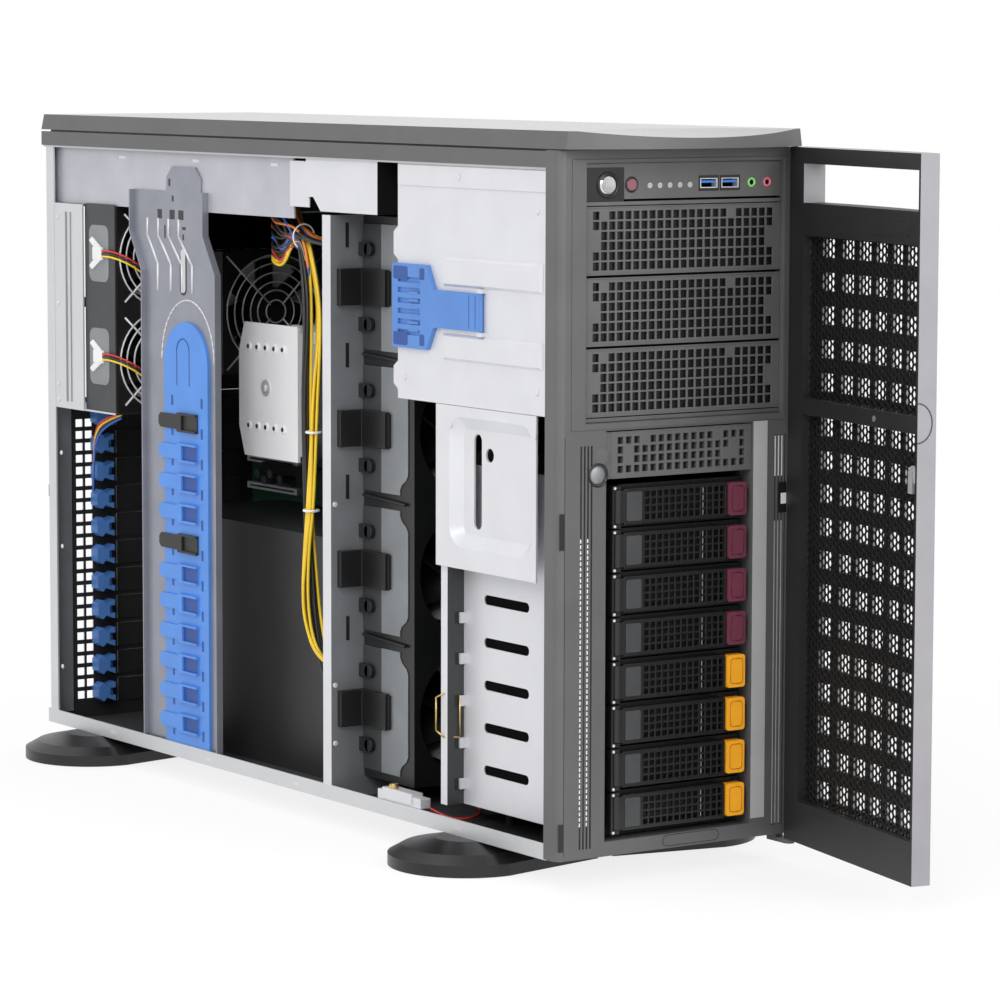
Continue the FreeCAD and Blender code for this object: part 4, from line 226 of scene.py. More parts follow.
PAINT = {"chassis_body": STEEL, "feet": FOOT_BLACK, "top_cover": CHARCOAL, "front_bezel": CHARCOAL,
         "control_panel": COVER_GREY, "bay_covers": BLACK, "drive_cage": BRIGHT_STEEL,
         "upper_cage": BRIGHT_STEEL, "cage_side_plate": BRIGHT_STEEL, "fan_wall": STEEL,
         "fan_housings": SATIN_BLACK, "psu_cage": RAIL_STEEL, "psu_module": RAIL_STEEL,
         "rear_panel": STEEL, "slot_clips": BLUE, "circuit_boards": BOARD, "cpu_coolers": ALLOY,
         "air_shroud": SHROUD_BLACK, "card_bracket": BRACKET_STEEL, "card_strip": LIGHT_BLUE,
         "cable_loom": WIRE_BLACK, "door_frame": GREY, "door_mesh": MESH_BLACK, "door_lock": STEEL,
         "power_button": SILVER, "reset_button": RESET_RED, "cage_latch": BLUE,
         "mid_fan_rotor": SATIN_BLACK, "rear_fan_rotor": SATIN_BLACK, "cooler_fan_rotor": SATIN_BLACK,
         "drive_tray": SATIN_BLACK, "tray_lever": SATIN_BLACK}


def shown(name, data):
    """A new object in the scene."""
    made = bpy.data.objects.new(name, data)
    bpy.context.scene.collection.objects.link(made)
    return made


def placed(axis, a, b, along):
    """A point from a place on the other two axes, in order, and one along the axis."""
    return {"x": (along, a, b), "y": (a, along, b), "z": (a, b, along)}[axis]


def arc(a, b, reach_a, reach_b, start, end, steps):
    """Points on part of an ellipse, between two angles given in half turns."""
    turns = [math.pi * (start + (end - start) * k / steps) for k in range(steps + 1)]
    return [(a + reach_a * math.cos(turn), b + reach_b * math.sin(turn)) for turn in turns]


def circle(a, b, radius, sides):
    """Corners of a round outline."""
    return arc(a, b, radius, radius, 0, 2, sides)[:-1]


def rounded(low_a, high_a, low_b, high_b, radius, steps=5):
    """Corners of a rectangle with round corners."""
    points = []
    for a, b, start in ((high_a - radius, high_b - radius, 0), (low_a + radius, high_b - radius, 0.5),
                        (low_a + radius, low_b + radius, 1), (high_a - radius, low_b + radius, 1.5)):
        points += arc(a, b, radius, radius, start, start + 0.5, steps)
    return points


def tube_faces(count, levels=2):
    """Faces of a closed tube through rings of corners, with its two ends."""
    faces = []
    last = count * (levels - 1)
    for low in range(0, last, count):
        faces += [(low + i, low + (i + 1) % count, low + count + (i + 1) % count, low + count + i)
                  for i in range(count)]
    return faces + [tuple(range(count)), tuple(range(last + count - 1, last - 1, -1))]


class Shape:
    """Collects faces in the bezel's millimetres and makes one piece of them."""

    def __init__(self):
        self.mesh = bmesh.new()

    def solid(self, corners, faces):
        made = [self.mesh.verts.new(corner) for corner in corners]
        for face in faces:
            self.mesh.faces.new([made[index] for index in face])

    def box(self, x0, x1, y0, y1, z0, z1):
        corners = [(x, y, z) for x in (x0, x1) for y in (y0, y1) for z in (z0, z1)]
        self.solid(corners, [(0, 1, 3, 2), (4, 6, 7, 5), (0, 4, 5, 1), (2, 3, 7, 6), (0, 2, 6, 4),
                             (1, 5, 7, 3)])

    def prism(self, axis, points, start, end):
        """A polygon on the other two axes, in order, drawn out along one axis."""
        corners = [placed(axis, a, b, along) for along in (start, end) for a, b in points]
        self.solid(corners, tube_faces(len(points)))

    def turned(self, axis, a, b, levels, sides=32):
        """A solid of revolution about an axis, through a radius at each height."""
        corners = [placed(axis, *point, height) for radius, height in levels
                   for point in circle(a, b, radius, sides)]
        self.solid(corners, tube_faces(sides, len(levels)))

    def rod(self, axis, a, b, radius, start, end, sides=24):
        """A cylinder along an axis."""
        self.turned(axis, a, b, ((radius, start), (radius, end)), sides)

    def ring(self, axis, a, b, radius, middle, wire, turns=40, sides=8):
        """A torus round an axis."""
        corners, faces = [], []
        for i in range(turns):
            turn = 2 * math.pi * i / turns
            for j, (reach, rise) in enumerate(circle(radius, middle, wire, sides)):
                corners.append(placed(axis, a + reach * math.cos(turn), b + reach * math.sin(turn), rise))
                following, after = (i + 1) % turns, (j + 1) % sides
                faces.append((i * sides + j, following * sides + j, following * sides + after,
                              i * sides + after))
        self.solid(corners, faces)

    def strut(self, start, end, radius, sides=8):
        """A round bar between two points."""
        first, last = Vector(start), Vector(end)
        along = (last - first).normalized()
        side = along.orthogonal().normalized()
        other = along.cross(side)
        corners = [centre + side * a + other * b for centre in (first, last)
                   for a, b in circle(0, 0, radius, sides)]
        self.solid(corners, tube_faces(sides))

    def trace(self, points, radius, sides=8, closed=False):
        """Round bars from each point to the next."""
        following = points[1:] + points[:1] if closed else points[1:]
        for first, last in zip(points, following):
            self.strut(first, last, radius, sides)

    def collar(self, axis, outer, inner, start, end):
        """A plate between two outlines with as many corners each, drawn out along one axis."""
        count = len(outer)
        corners = [placed(axis, a, b, along) for along in (start, end) for line in (outer, inner)
                   for a, b in line]
        faces = []
        for i in range(count):
            j = (i + 1) % count
            faces += [(i, j, count + j, count + i),
                      (2 * count + i, 3 * count + i, 3 * count + j, 2 * count + j),
                      (i, 2 * count + i, 2 * count + j, j),
                      (count + i, count + j, 3 * count + j, 3 * count + i)]
        self.solid(corners, faces)

    def screw(self, axis, a, b, seat, outward, radius=2.4):
        """A pan head on a seat that faces along an axis."""
        top = seat + outward * radius * 0.55
        neck = seat + outward * radius * 0.33
        self.rod(axis, a, b, radius, seat, neck, sides=18)
        self.turned(axis, a, b, ((radius, neck), (radius * 0.72, top)), sides=18)

    def plate(self, across, up, holes, y0, y1):
        """A plate at right angles to y on lines of x and z, open at the cells in holes."""
        made = {}
        columns, rows = len(across) - 1, len(up) - 1

        def corner(i, j, y):
            if (i, j, y) not in made:
                made[(i, j, y)] = self.mesh.verts.new((across[i], y, up[j]))
            return made[(i, j, y)]

        def filled(i, j):
            return 0 <= i < columns and 0 <= j < rows and (i, j) not in holes

        for i, j in ((i, j) for i in range(columns) for j in range(rows) if filled(i, j)):
            around = [(i, j), (i + 1, j), (i + 1, j + 1), (i, j + 1)]
            self.mesh.faces.new([corner(a, b, y0) for a, b in around])
            self.mesh.faces.new([corner(a, b, y1) for a, b in reversed(around)])
            beside = [(i, j - 1), (i + 1, j), (i, j + 1), (i - 1, j)]
            for side, (a, b) in enumerate(beside):
                if not filled(a, b):
                    first, second = around[side], around[(side + 1) % 4]
                    self.mesh.faces.new([corner(*first, y1), corner(*second, y1),
                                         corner(*second, y0), corner(*first, y0)])

    def make(self, name, material, body="chassis", bevel=0, smooth=False, replaced=()):
        """Turns the faces into an object that rides on a body; the door is drawn closed and swung open."""
        bmesh.ops.recalc_face_normals(self.mesh, faces=self.mesh.faces)
        for corner in self.mesh.verts:
            corner.co = metres(*corner.co)
        data = bpy.data.meshes.new(name)
        self.mesh.to_mesh(data)
        self.mesh.free()
        if body == "door":
            data.transform(DOOR_SWING)
        for face in data.polygons:
            face.use_smooth = smooth
        data.materials.append(material)
        made = shown(name, data)
        if bevel:
            rounding = made.modifiers.new("rounding", "BEVEL")
            rounding.width = bevel / 1000
            rounding.segments = 2
            rounding.limit_method = "ANGLE"
        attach(made, body)
        if replaced:
            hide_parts(*replaced)
        return made


def shapes(count):
    """Several empty shapes."""
    return [Shape() for _ in range(count)]


def grid_lines(low, high, margin, count, bar):
    """Edges of a row of equal holes between two margins."""
    pitch = (high - low - 2 * margin + bar) / count
    lines = [low]
    for index in range(count):
        lines += [low + margin + index * pitch, low + margin + (index + 1) * pitch - bar]
    return lines + [high]


def all_holes(columns, rows, blank=()):
    """Cells of a plate on grid lines that are open."""
    return {(2 * i + 1, 2 * j + 1) for i in range(columns) for j in range(rows) if (i, j) not in blank}


def tray_foot(index):
    """Height of a tray's lower edge, counted from the top."""
    return TRAY_TOP - index * TRAY_PITCH - TRAY_HEIGHT


def paint_of(name):
    """Material of a node, by its name without its number."""
    kind = name.rstrip("0123456789").rstrip("_")
    if kind == "tray_release":
        return BURGUNDY if int(name[-1]) <= BURGUNDY_TRAYS else ORANGE
    return PAINT[kind]


def paint_nodes():
    """Materials of the pieces that keep the shape of their solids."""
    for name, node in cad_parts.items():
        node.data.materials.clear()
        node.data.materials.append(paint_of(name))


def paint_faces(name, material, chosen):
    """Gives the faces of a node that pass a test of their centre and normal another material."""
    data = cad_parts[name].data
    data.materials.append(material)
    for face in data.polygons:
        x, y, z = (1000 * value for value in face.center)
        if chosen(x, y + FRONT_TO_ORIGIN, z - FLOOR_TO_BEZEL, face.normal):
            face.material_index = len(data.materials) - 1


def paint_inside():
    """Painted shade on faces deep in the casing, which hardly any light reaches, painted highlight on a few
    lit faces, and pieces of two colours.
    """
    for name, material, chosen in (
            # Inner face of the right wall and underside of the roof: painted shade
            ("chassis_body", PAINTED_SHADE_STEEL,
             lambda x, y, z, n: (n.x < -FACING and x > 80) or (n.z < -FACING and z > 400)),
            # Top of the base's floor in dark steel: painted shade
            ("chassis_body", DARK_STEEL, lambda x, y, z, n: n.z > FACING and -1 < z < 3),
            ("chassis_body", CHARCOAL, lambda x, y, z, n: n.x > FACING and x > 86),
            # Inner face of the rear panel: painted shade
            ("rear_panel", PAINTED_SHADE_STEEL, lambda x, y, z, n: n.y < -FACING and x > -80),
            # Fan wall: front and rear faces darker as painted shade, left edge in bright steel as painted
            # highlight
            ("fan_wall", MID_STEEL, lambda x, y, z, n: n.y < -FACING),
            ("fan_wall", BRIGHT_STEEL, lambda x, y, z, n: n.x < -FACING and x < -80),
            ("fan_wall", PAINTED_SHADE_STEEL, lambda x, y, z, n: n.y > FACING and x > -80),
            # Inside of the drive cage and the front face of its flange: painted shade
            ("drive_cage", PAINTED_SHADE_STEEL, lambda x, y, z, n: x > -69.5),
            ("drive_cage", DARK_STEEL, lambda x, y, z, n: n.y < -FACING and y > 120 and x < -69),
            ("top_cover", LID_TOP, lambda x, y, z, n: n.z > 0.7),
            # Left-facing faces of the supplies' front bracket in bright steel: painted highlight
            ("psu_cage", BRIGHT_STEEL, lambda x, y, z, n: n.x < -FACING and y < 300),
            # Inside of the upper cage: painted shade
            ("upper_cage", PAINTED_SHADE_STEEL, lambda x, y, z, n: x > -84),
            ("psu_cage", SATIN_BLACK, lambda x, y, z, n: n.y < -FACING and y < 230),
            # Underside of the supplies' cage at the rear: painted shade
            ("psu_cage", PAINTED_SHADE_STEEL, lambda x, y, z, n: n.z < -FACING and y > 300),
            ("circuit_boards", SATIN_BLACK, lambda x, y, z, n: x < 77.5 and 400 < y < 620),
            ("cpu_coolers", SATIN_BLACK, lambda x, y, z, n: 340 < y < 365.9 or 489 < y < 514.9),
            # Faces in the pockets of the strip's holders in darker blue: painted shade
            ("card_strip", BLUE_SHADE, lambda x, y, z, n: n.x < -FACING and -87.3 < x < -86.6),
            ("card_strip", BLACK, lambda x, y, z, n: x < -86.1 and (z > 222 or 138.5 < z < 160.5))):
        paint_faces(name, material, chosen)


def paint_door():
    """The door is grey outside and on its edges, and black on its inner side."""
    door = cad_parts["door_frame"]
    door.data.materials.append(BLACK)
    swing = Matrix.Rotation(DOOR_ANGLE, 3, "Z")
    inward, along = swing @ Vector((0, 1, 0)), swing @ Vector((1, 0, 0))
    back = DOOR_SWING.inverted()
    for face in door.data.polygons:
        closed = back @ face.center
        s = DOOR_AXIS[0] - closed.x * 1000
        z = closed.z * 1000 - FLOOR_TO_BEZEL
        turned = abs(face.normal.dot(along))
        facing = face.normal.dot(inward)
        inside = (DOOR_OPENING_S[0] < s < DOOR_OPENING_S[1]
                  and DOOR_OPENING_Z[0] < z < DOOR_OPENING_Z[1])
        deep = closed.y * 1000 + FRONT_TO_ORIGIN < DOOR_SKIN_Y or z > DOOR_TOP_WINDOW_Z
        wall = inside and facing > -FACING
        if facing > FACING or (wall and not (deep and turned > FACING)):
            face.material_index = 1


def door_detail():
    """Finger notch on the door's free edge, outlined dark as painted shade, a raised grip inside and the
    screw of its middle bar.
    """
    notch, grip, screws = shapes(3)
    # Dark outline of the notch: painted shade
    outline = arc(-0.9, 272.5, 9.5, 11.7, 0.5, 1.5, 16)
    notch.trace([(DOOR_FREE_EDGE, y, z) for y, z in outline], 0.4, sides=6)
    notch.make("door_notch_shade", DARK_STEEL, "door", smooth=True)
    grip.prism("y", rounded(-67.5, -11.5, 380.5, 391, 5), DOOR_INNER_FACE, -0.5)
    grip.prism("y", rounded(-64.5, -44, 382.5, 389, 3), -0.5, -0.35)
    grip.make("door_grip", BLACK, "door", bevel=0.1)
    screws.rod("y", -26, 271, 1.9, DOOR_INNER_FACE, -0.3, sides=18)
    screws.make("door_screws", MID_STEEL, "door", bevel=0.1)


def bay_covers():
    """Bay covers with their fine square perforation and the filters behind it."""
    covers, filters, shelf = shapes(3)
    across = grid_lines(*COVER_X, 6, COVER_HOLES[0], 1.35)
    for index in range(COVER_COUNT):
        top = COVER_TOP - index * COVER_PITCH
        foot = top - COVER_HEIGHT
        covers.plate(across, grid_lines(foot, top, 3, COVER_HOLES[1], 1.2),
                     all_holes(*COVER_HOLES, COVER_BLANK), 2, 3)
        covers.box(*COVER_X, 1.6, 2, foot, foot + 0.9)
        covers.box(*COVER_X, 1.6, 2, top - 0.9, top)
        filters.box(-66, 77, 4.4, 4.9, foot + 1.3, top - 1.5)
    for low, high in ((396, 398.3), (265.7, 268.2)):
        covers.box(-68.3, 79.6, 2.2, 3.2, low, high)
    covers.plate(grid_lines(*SLIM_X, 5, SLIM_HOLES[0], 2.1), grid_lines(*SLIM_Z, 3.4, SLIM_HOLES[1], 1.6),
                 all_holes(*SLIM_HOLES, SLIM_BLANK), 1.2, 4.4)
    covers.prism("y", rounded(-53.2, -48.6, *SLIM_Z, 1), 1.6, 4.4)
    shelf.box(-46, 56, 4.4, 4.9, 232.5, 258)
    covers.make("bay_cover_grilles", COVER_GREY, bevel=0.25, replaced=("bay_covers",))
    filters.make("bay_filters", SATIN_BLACK, bevel=0.1)
    shelf.make("slim_bay_backing", SATIN_BLACK, bevel=0.1)


def lever_grille(number, foot):
    """The lever itself: a fine grille with four walls behind it and a barrel at its pivot."""
    lever = Shape()
    low, high = foot + 2, foot + TRAY_HEIGHT - 2
    face, wall_y = LEVER_FACE_Y, (LEVER_FACE_Y[1], LEVER_REAR_Y)
    columns, rows = LEVER_HOLES
    across = [LEVER_X[0]] + grid_lines(LEVER_GRILLE_X, LEVER_X[1], 1.4, columns, 1.2)
    holes = {(i + 1, j) for i, j in all_holes(columns, rows)}
    lever.plate(across, grid_lines(low, high, 2.4, rows, 1.2), holes, *face)
    lever.box(*LEVER_X, *wall_y, low, low + LEVER_WALL)
    lever.box(*LEVER_X, *wall_y, high - LEVER_WALL, high)
    lever.box(LEVER_X[1] - LEVER_WALL, LEVER_X[1], *wall_y, low + LEVER_WALL, high - LEVER_WALL)
    lever.box(LEVER_X[0], LEVER_X[0] + 1.5, *wall_y, low + LEVER_WALL, high - LEVER_WALL)
    barrel = (foot + 2.8, foot + TRAY_HEIGHT - 2.8)
    lever.rod("z", *LEVER_PIVOT, 3.45, *barrel)
    lever.box(LEVER_PIVOT[0], LEVER_X[0] + 0.1, face[0], LEVER_REAR_Y, *barrel)
    body = "tray_lever_" + number
    lever.make("lever_grille_" + number, SATIN_BLACK, body, bevel=0.25, replaced=(body,))


def tray_levers():
    """Lever of each tray, with its bare label place and its light pipes."""
    for index in range(TRAY_COUNT):
        number, foot = str(index + 1), tray_foot(index)
        low, high = foot + 2, foot + TRAY_HEIGHT - 2
        lever_grille(number, foot)
        plate, glints = shapes(2)
        plate.prism("y", rounded(-37, -25.5, low + 2, high - 2, 1.2), 1.2, 1.55)
        if index >= BURGUNDY_TRAYS:
            plate.prism("y", rounded(-36, -26.5, low + 7.5, high - 5.5, 0.6), 1.05, 1.2)
        plate.make("lever_label_place_" + number, DARK_STEEL, "tray_lever_" + number, bevel=0.1)
        for x in (5, 22):
            glints.box(x, x + 0.5, 2.9, 3.2, low + 2.5, high - 2.5)
        glints.make("lever_light_pipes_" + number, PALE_GREY, "tray_lever_" + number)


def tray_faces():
    """Rounded groove line on each release tab, darker as painted shade, and the steel pins at a tray's
    corners.
    """
    for index in range(TRAY_COUNT):
        number = str(index + 1)
        middle = tray_foot(index) + TRAY_HEIGHT / 2
        line, pins = shapes(2)
        outline = rounded(43.2, 52.6, middle - 7.8, middle + 7.8, 2, steps=3)
        # Darker line round the tab: painted shade in its groove
        line.trace([(x, 0.98, z) for x, z in outline], 0.32, sides=6, closed=True)
        line.make("release_groove_shade_" + number, BURGUNDY_GROOVE_SHADE if index < BURGUNDY_TRAYS else ORANGE_GROOVE_SHADE,
                  "tray_release_" + number, smooth=True)
        for z in (middle - 11.6, middle + 11.6):
            pins.rod("y", -45.9, z, 0.9, 1, 1.5, sides=10)
        pins.make("tray_pins_" + number, BRIGHT_STEEL, "drive_tray_" + number)


def honeycomb(mesh, low, high):
    """Flat hexagon rims that fill a rectangle of the door's mesh."""
    radius = MESH_CELL / math.sqrt(3)
    s0, s1 = MESH_S
    made = {}

    def corner(s, z):
        s, z = min(max(s, s0), s1), min(max(z, low), high)
        key = (round(s, 3), round(z, 3))
        if key not in made:
            made[key] = mesh.verts.new((DOOR_AXIS[0] - s, DOOR_AXIS[1] - MESH_BACK, z))
        return made[key]

    columns = int((s1 - s0) / (1.5 * radius)) + 2
    rows = int((high - low) / MESH_CELL) + 2
    for column, row in ((column, row) for column in range(columns) for row in range(rows)):
        s = s0 + column * 1.5 * radius
        z = low + (row + 0.5 * (column % 2)) * MESH_CELL
        if s > s1 or z > high:
            continue
        outer = [corner(*point) for point in circle(s, z, radius, 6)]
        inner = [corner(*point) for point in circle(s, z, radius - MESH_WIRE, 6)]
        for step in range(6):
            after = (step + 1) % 6
            quad = [outer[step], outer[after], inner[after], inner[step]]
            if len(set(quad)) == 4 and mesh.faces.get(quad) is None:
                mesh.faces.new(quad)


def door_honeycomb():
    """Hexagonal mesh of the door, above and below its middle bar."""
    panel = Shape()
    for low, high in MESH_Z:
        honeycomb(panel.mesh, low, high)
    made = panel.make("door_honeycomb", MESH_BLACK, "door", replaced=("door_mesh",))
    thick = made.modifiers.new("thickness", "SOLIDIFY")
    thick.thickness = MESH_THICK / 1000
    thick.offset = 0


def front_sockets():
    """Two data sockets and two audio jacks of the control panel."""
    shells, tongues, frames = shapes(3)
    for x in (24.3, 40.6):
        frames.plate([x - 7.6, x - 6.7, x + 6.7, x + 7.6], [403.6, 405.2, 411.4, 413], {(1, 1)},
                     PANEL_FACE, 2.5)
        shells.plate([x - 6.6, x - 5.9, x + 5.9, x + 6.6], [405.3, 405.8, 410.8, 411.3], {(1, 1)}, 2.3, 7.5)
        tongues.box(x - 5.2, x + 5.2, 3, 7.4, 408.4, 409.9)
    frames.make("usb_frames", SATIN_BLACK)
    shells.make("usb_shells", BRIGHT_STEEL)
    tongues.make("usb_tongues", PORT_BLUE, bevel=0.15)
    for x, name, lens in ((57.3, "audio_green", GREEN_LENS), (69.4, "audio_pink", PINK_LENS)):
        jack = Shape()
        jack.ring("y", x, PANEL_Z, 2.3, 2.6, 0.75, turns=24)
        jack.make(name, lens, smooth=True)


def front_panel_detail():
    """Lamps, button rings and sockets of the control panel, with the raised frame round it."""
    border, block, rings, lamps = shapes(4)
    for x0, x1, z0, z1 in ((-79.6, -69.2, 261.5, 424), (80.5, 82.6, 261.5, 424),
                           (-69.2, 80.5, 421.8, 424), (-69.2, 80.5, 261.5, 265.2)):
        border.box(x0, x1, -0.6, 0, z0, z1)
    border.make("bezel_border", CHARCOAL, bevel=0.25)
    corners = rounded(-68.2, -39.6, 398.4, 418.8, 0.8, steps=7)
    block.collar("y", corners, circle(POWER_X, PANEL_Z, 6.35, len(corners)), PANEL_FACE, 2.5)
    block.make("button_block", SATIN_BLACK, bevel=0.15)
    rings.ring("y", POWER_X, PANEL_Z, 7.3, 1.9, 0.75, turns=40)
    rings.ring("y", RESET_X, PANEL_Z, 4.4, 2.4, 0.5, turns=32)
    rings.make("button_rings", SATIN_BLACK, smooth=True)
    for index in range(5):
        lamps.rod("y", -20.3 + 7.55 * index, 407.6, 1.8, PANEL_FACE, 3, sides=16)
    lamps.make("panel_lamps", PALE_GREY)
    front_sockets()


def lock_strike():
    """The lock's strike in the lower bezel, with its ring and tab."""
    strike, knob, tab = shapes(3)
    strike.ring("y", *STRIKE, 6.9, 0, 0.6, turns=40)
    tab.prism("y", rounded(-62, -52, 240.4, 250.4, 4), -0.3, 0)
    strike.make("strike_ring", SATIN_BLACK, smooth=True)
    tab.make("strike_tab", COVER_GREY, bevel=0.15)
    levels = ((5.6, 1.5), (5.6, 0.5), (5.2, 0.1), (4.2, -0.3), (2.8, -0.55), (1, -0.7))
    knob.turned("y", *STRIKE, levels)
    knob.make("lock_strike", MID_STEEL, smooth=True)


def bezel_detail():
    """Strips, bars, vents' white spots, hinge parts and seam of the lower bezel, the seams black as painted
    shade.
    """
    lock_strike()
    strips, pale, bright, spots = shapes(4)
    strips.box(58.8, 69.6, -0.3, 0, 12, 261)
    strips.make("bezel_strip", PALE_GREY, bevel=0.12)
    for x in (76.05, 78.65, 81.25):
        bright.box(x - 0.5, x + 0.5, 0.25, 0.7, 226, 251)
        pale.box(x - 0.45, x + 0.45, 0.25, 0.7, 7, 198)
    bright.make("bezel_bright_bars", WHITE, bevel=0.1)
    pale.make("bezel_pale_bars", PALE_GREY, bevel=0.1)
    for column in (-72, -66.8):
        for index in range(52):
            z = 20 + 3.4 * index
            spots.box(column - 0.6, column + 0.6, 0.4, 0.9, z, z + 2.3)
    spots.make("vent_spots", WHITE)
    hinge, catch, seam = shapes(3)
    hinge.box(78.3, 84.9, -0.45, 0, 203, 222)
    catch.box(80.2, 84.4, -0.7, -0.45, 208.4, 215.2)
    # Black seam lines: painted shade between the bezel's parts
    seam.box(-84.15, -83.75, -0.06, 0.1, 3, 258)
    for low, high in ((190, 212), (6, 23)):
        hinge.box(-88, -84.4, -0.3, 0, low, high)
    hinge.make("bezel_hinge_parts", SATIN_BLACK, bevel=0.2)
    catch.make("bezel_catch", WHITE, bevel=0.2)
    outline = rounded(-9, 34, 1.4, 8.2, 3.2, steps=4)
    seam.trace([(x, 0, z) for x, z in outline], 0.22, sides=6, closed=True)
    seam.make("bezel_seam_shade", BLACK)


def fan_guard(guard, x, z, radii, y, thickness, turns, spokes, spoke_radius):
    """Wire rings and four slanting spokes in front of a fan."""
    for radius in radii:
        guard.ring("y", x, z, radius, y, thickness, turns=turns, sides=6)
    inner, outer = spokes
    for side in (-1, 1):
        for up in (-1, 1):
            guard.strut((x + side * inner, y - 0.8, z + up * inner),
                        (x + side * outer, y + 0.4, z + up * outer), spoke_radius)


def rear_fan_covers():
    """Dark side cover of the exhaust fans, with their plugs and wire guards."""
    cover, pockets, plugs, guards = shapes(4)
    cover.prism("x", rounded(547.5, 590.5, 231, 379, 1.5), REAR_COVER_FACE, -83.6)
    for z in REAR_FAN_Z:
        middle = z + REAR_PLUG_RISE
        pockets.prism("x", rounded(556, 584, middle - 20, middle + 20, 6), -85.2, REAR_COVER_FACE)
        plugs.box(-87.2, -85.1, 563, 576, middle - 4.5, middle + 4.5)
        for up in (-1, 1):
            plugs.prism("x", [(569, middle), (582, middle + up * 9), (578, middle + up * 11.5),
                              (563, middle + up * 3)], -86.6, -85.1)
        fan_guard(guards, REAR_FAN_X, z, (12, 18, 24, 30, 35), REAR_GUARD_Y, 0.7, 48,
                  (7, 31), 0.8)
    cover.make("rear_fan_side_cover", DARK_STEEL, bevel=0.3)
    pockets.make("rear_fan_pockets", MID_STEEL, bevel=0.1)
    plugs.make("rear_fan_plugs", WHITE, bevel=0.3)
    guards.make("rear_fan_guards", BRIGHT_STEEL, smooth=True)


def cooler_detail():
    """Wire guard of the rear cooler's fan, and the front plate's pipe ends and screw; black discs in the
    pipe ends are painted shade.
    """
    guard, caps, holes, screw = shapes(4)
    fan_guard(guard, *COOLER_FAN, (8, 15, 21, 27.5, 34, 40), COOLER_GUARD_Y, 0.6, 56,
              (5, 40), 0.7)
    guard.make("cooler_guard", BRIGHT_STEEL, smooth=True)
    for z in (231, 285.4):
        for index in range(5):
            y = 384.6 + 11.2 * index
            caps.rod("x", y, z, 3.2, -46, COOLER_PLATE, sides=20)
            # Black discs in the pipe ends: painted shade
            holes.rod("x", y, z, 1.6, COOLER_PLATE, -47.1, sides=14)
    caps.make("pipe_end_caps", ALLOY, bevel=0.3)
    holes.make("pipe_end_hole_shade", SATIN_BLACK)
    screw.rod("x", 407, 258, 5.6, COOLER_PLATE, -46, sides=28)
    screw.screw("x", 407, 258, COOLER_PLATE, -1, 3)
    screw.make("cooler_screw", STEEL, bevel=0.2)


def bracket_detail():
    """Pressed ridges, holes and outlines on the card bracket; ridges and dome line bright as painted
    highlight, holes and slot outline black as painted shade.
    """
    ridges, dome, holes, slot, tongue = shapes(5)
    face = BRACKET_FACE
    # Bright steel on the ridges and the dome line: painted highlight
    for high, low in ((502, 488), (487, 470), (473, 455), (459, 441)):
        ridges.trace([(face, high, 372), (face, high, 360), (face, low, 341), (face, low, 322)], 0.9)
    ridges.make("bracket_ridge_highlights", BRIGHT_STEEL, smooth=True)
    dome.trace([(face, y, z) for y, z in arc(447.5, 275, 35.5, 42, 0, 1, 24)], 0.6)
    dome.make("bracket_dome_highlight", BRIGHT_STEEL, smooth=True)
    # Black sheets in the holes and round the slot: painted shade
    for y, z, wide, tall in ((485, 375, 6, 6.5), (468, 375, 7, 6.5), (456, 375, 7, 6.5),
                             (478, 363, 1.8, 9), (452, 366, 5, 2), (453, 360, 2, 4),
                             (467, 386, 2.6, 4), (471.5, 397, 2.6, 5)):
        holes.box(face - 0.08, face + 0.1, y - wide / 2, y + wide / 2, z - tall / 2, z + tall / 2)
    holes.make("bracket_hole_shade", SATIN_BLACK)
    slot.prism("x", rounded(448.5, 458, 320, 349, 4.6), face - 0.06, face + 0.1)
    slot.make("bracket_slot_shade", SATIN_BLACK)
    tongue.prism("x", rounded(450.2, 456.3, 321.8, 352, 3), face - 0.2, face + 0.05)
    tongue.make("bracket_tongue", STEEL)


def strip_groove_shade():
    """Arched groove line and slots on the bracket's blue strip, in darker blue as painted shade."""
    marks = Shape()
    # Darker blue lines and slots: painted shade
    for y in (STRIP_MIDDLE - 8.4, STRIP_MIDDLE + 8.4):
        marks.box(STRIP_FACE - 0.1, STRIP_FACE + 0.05, y - 0.5, y + 0.5, 258, 282)
    marks.trace([(STRIP_FACE, y, z) for y, z in arc(STRIP_MIDDLE, 282, 8.4, 8.4, 0, 1, 12)], 0.45)
    for index in range(12):
        z = 243 - index * 20.9
        for y in (426, 466):
            marks.box(STRIP_FACE - 0.12, STRIP_FACE + 0.05, y - 1.3, y + 1.3, z + 1, z + 8)
    marks.make("strip_groove_shade", BLUE_SHADE)


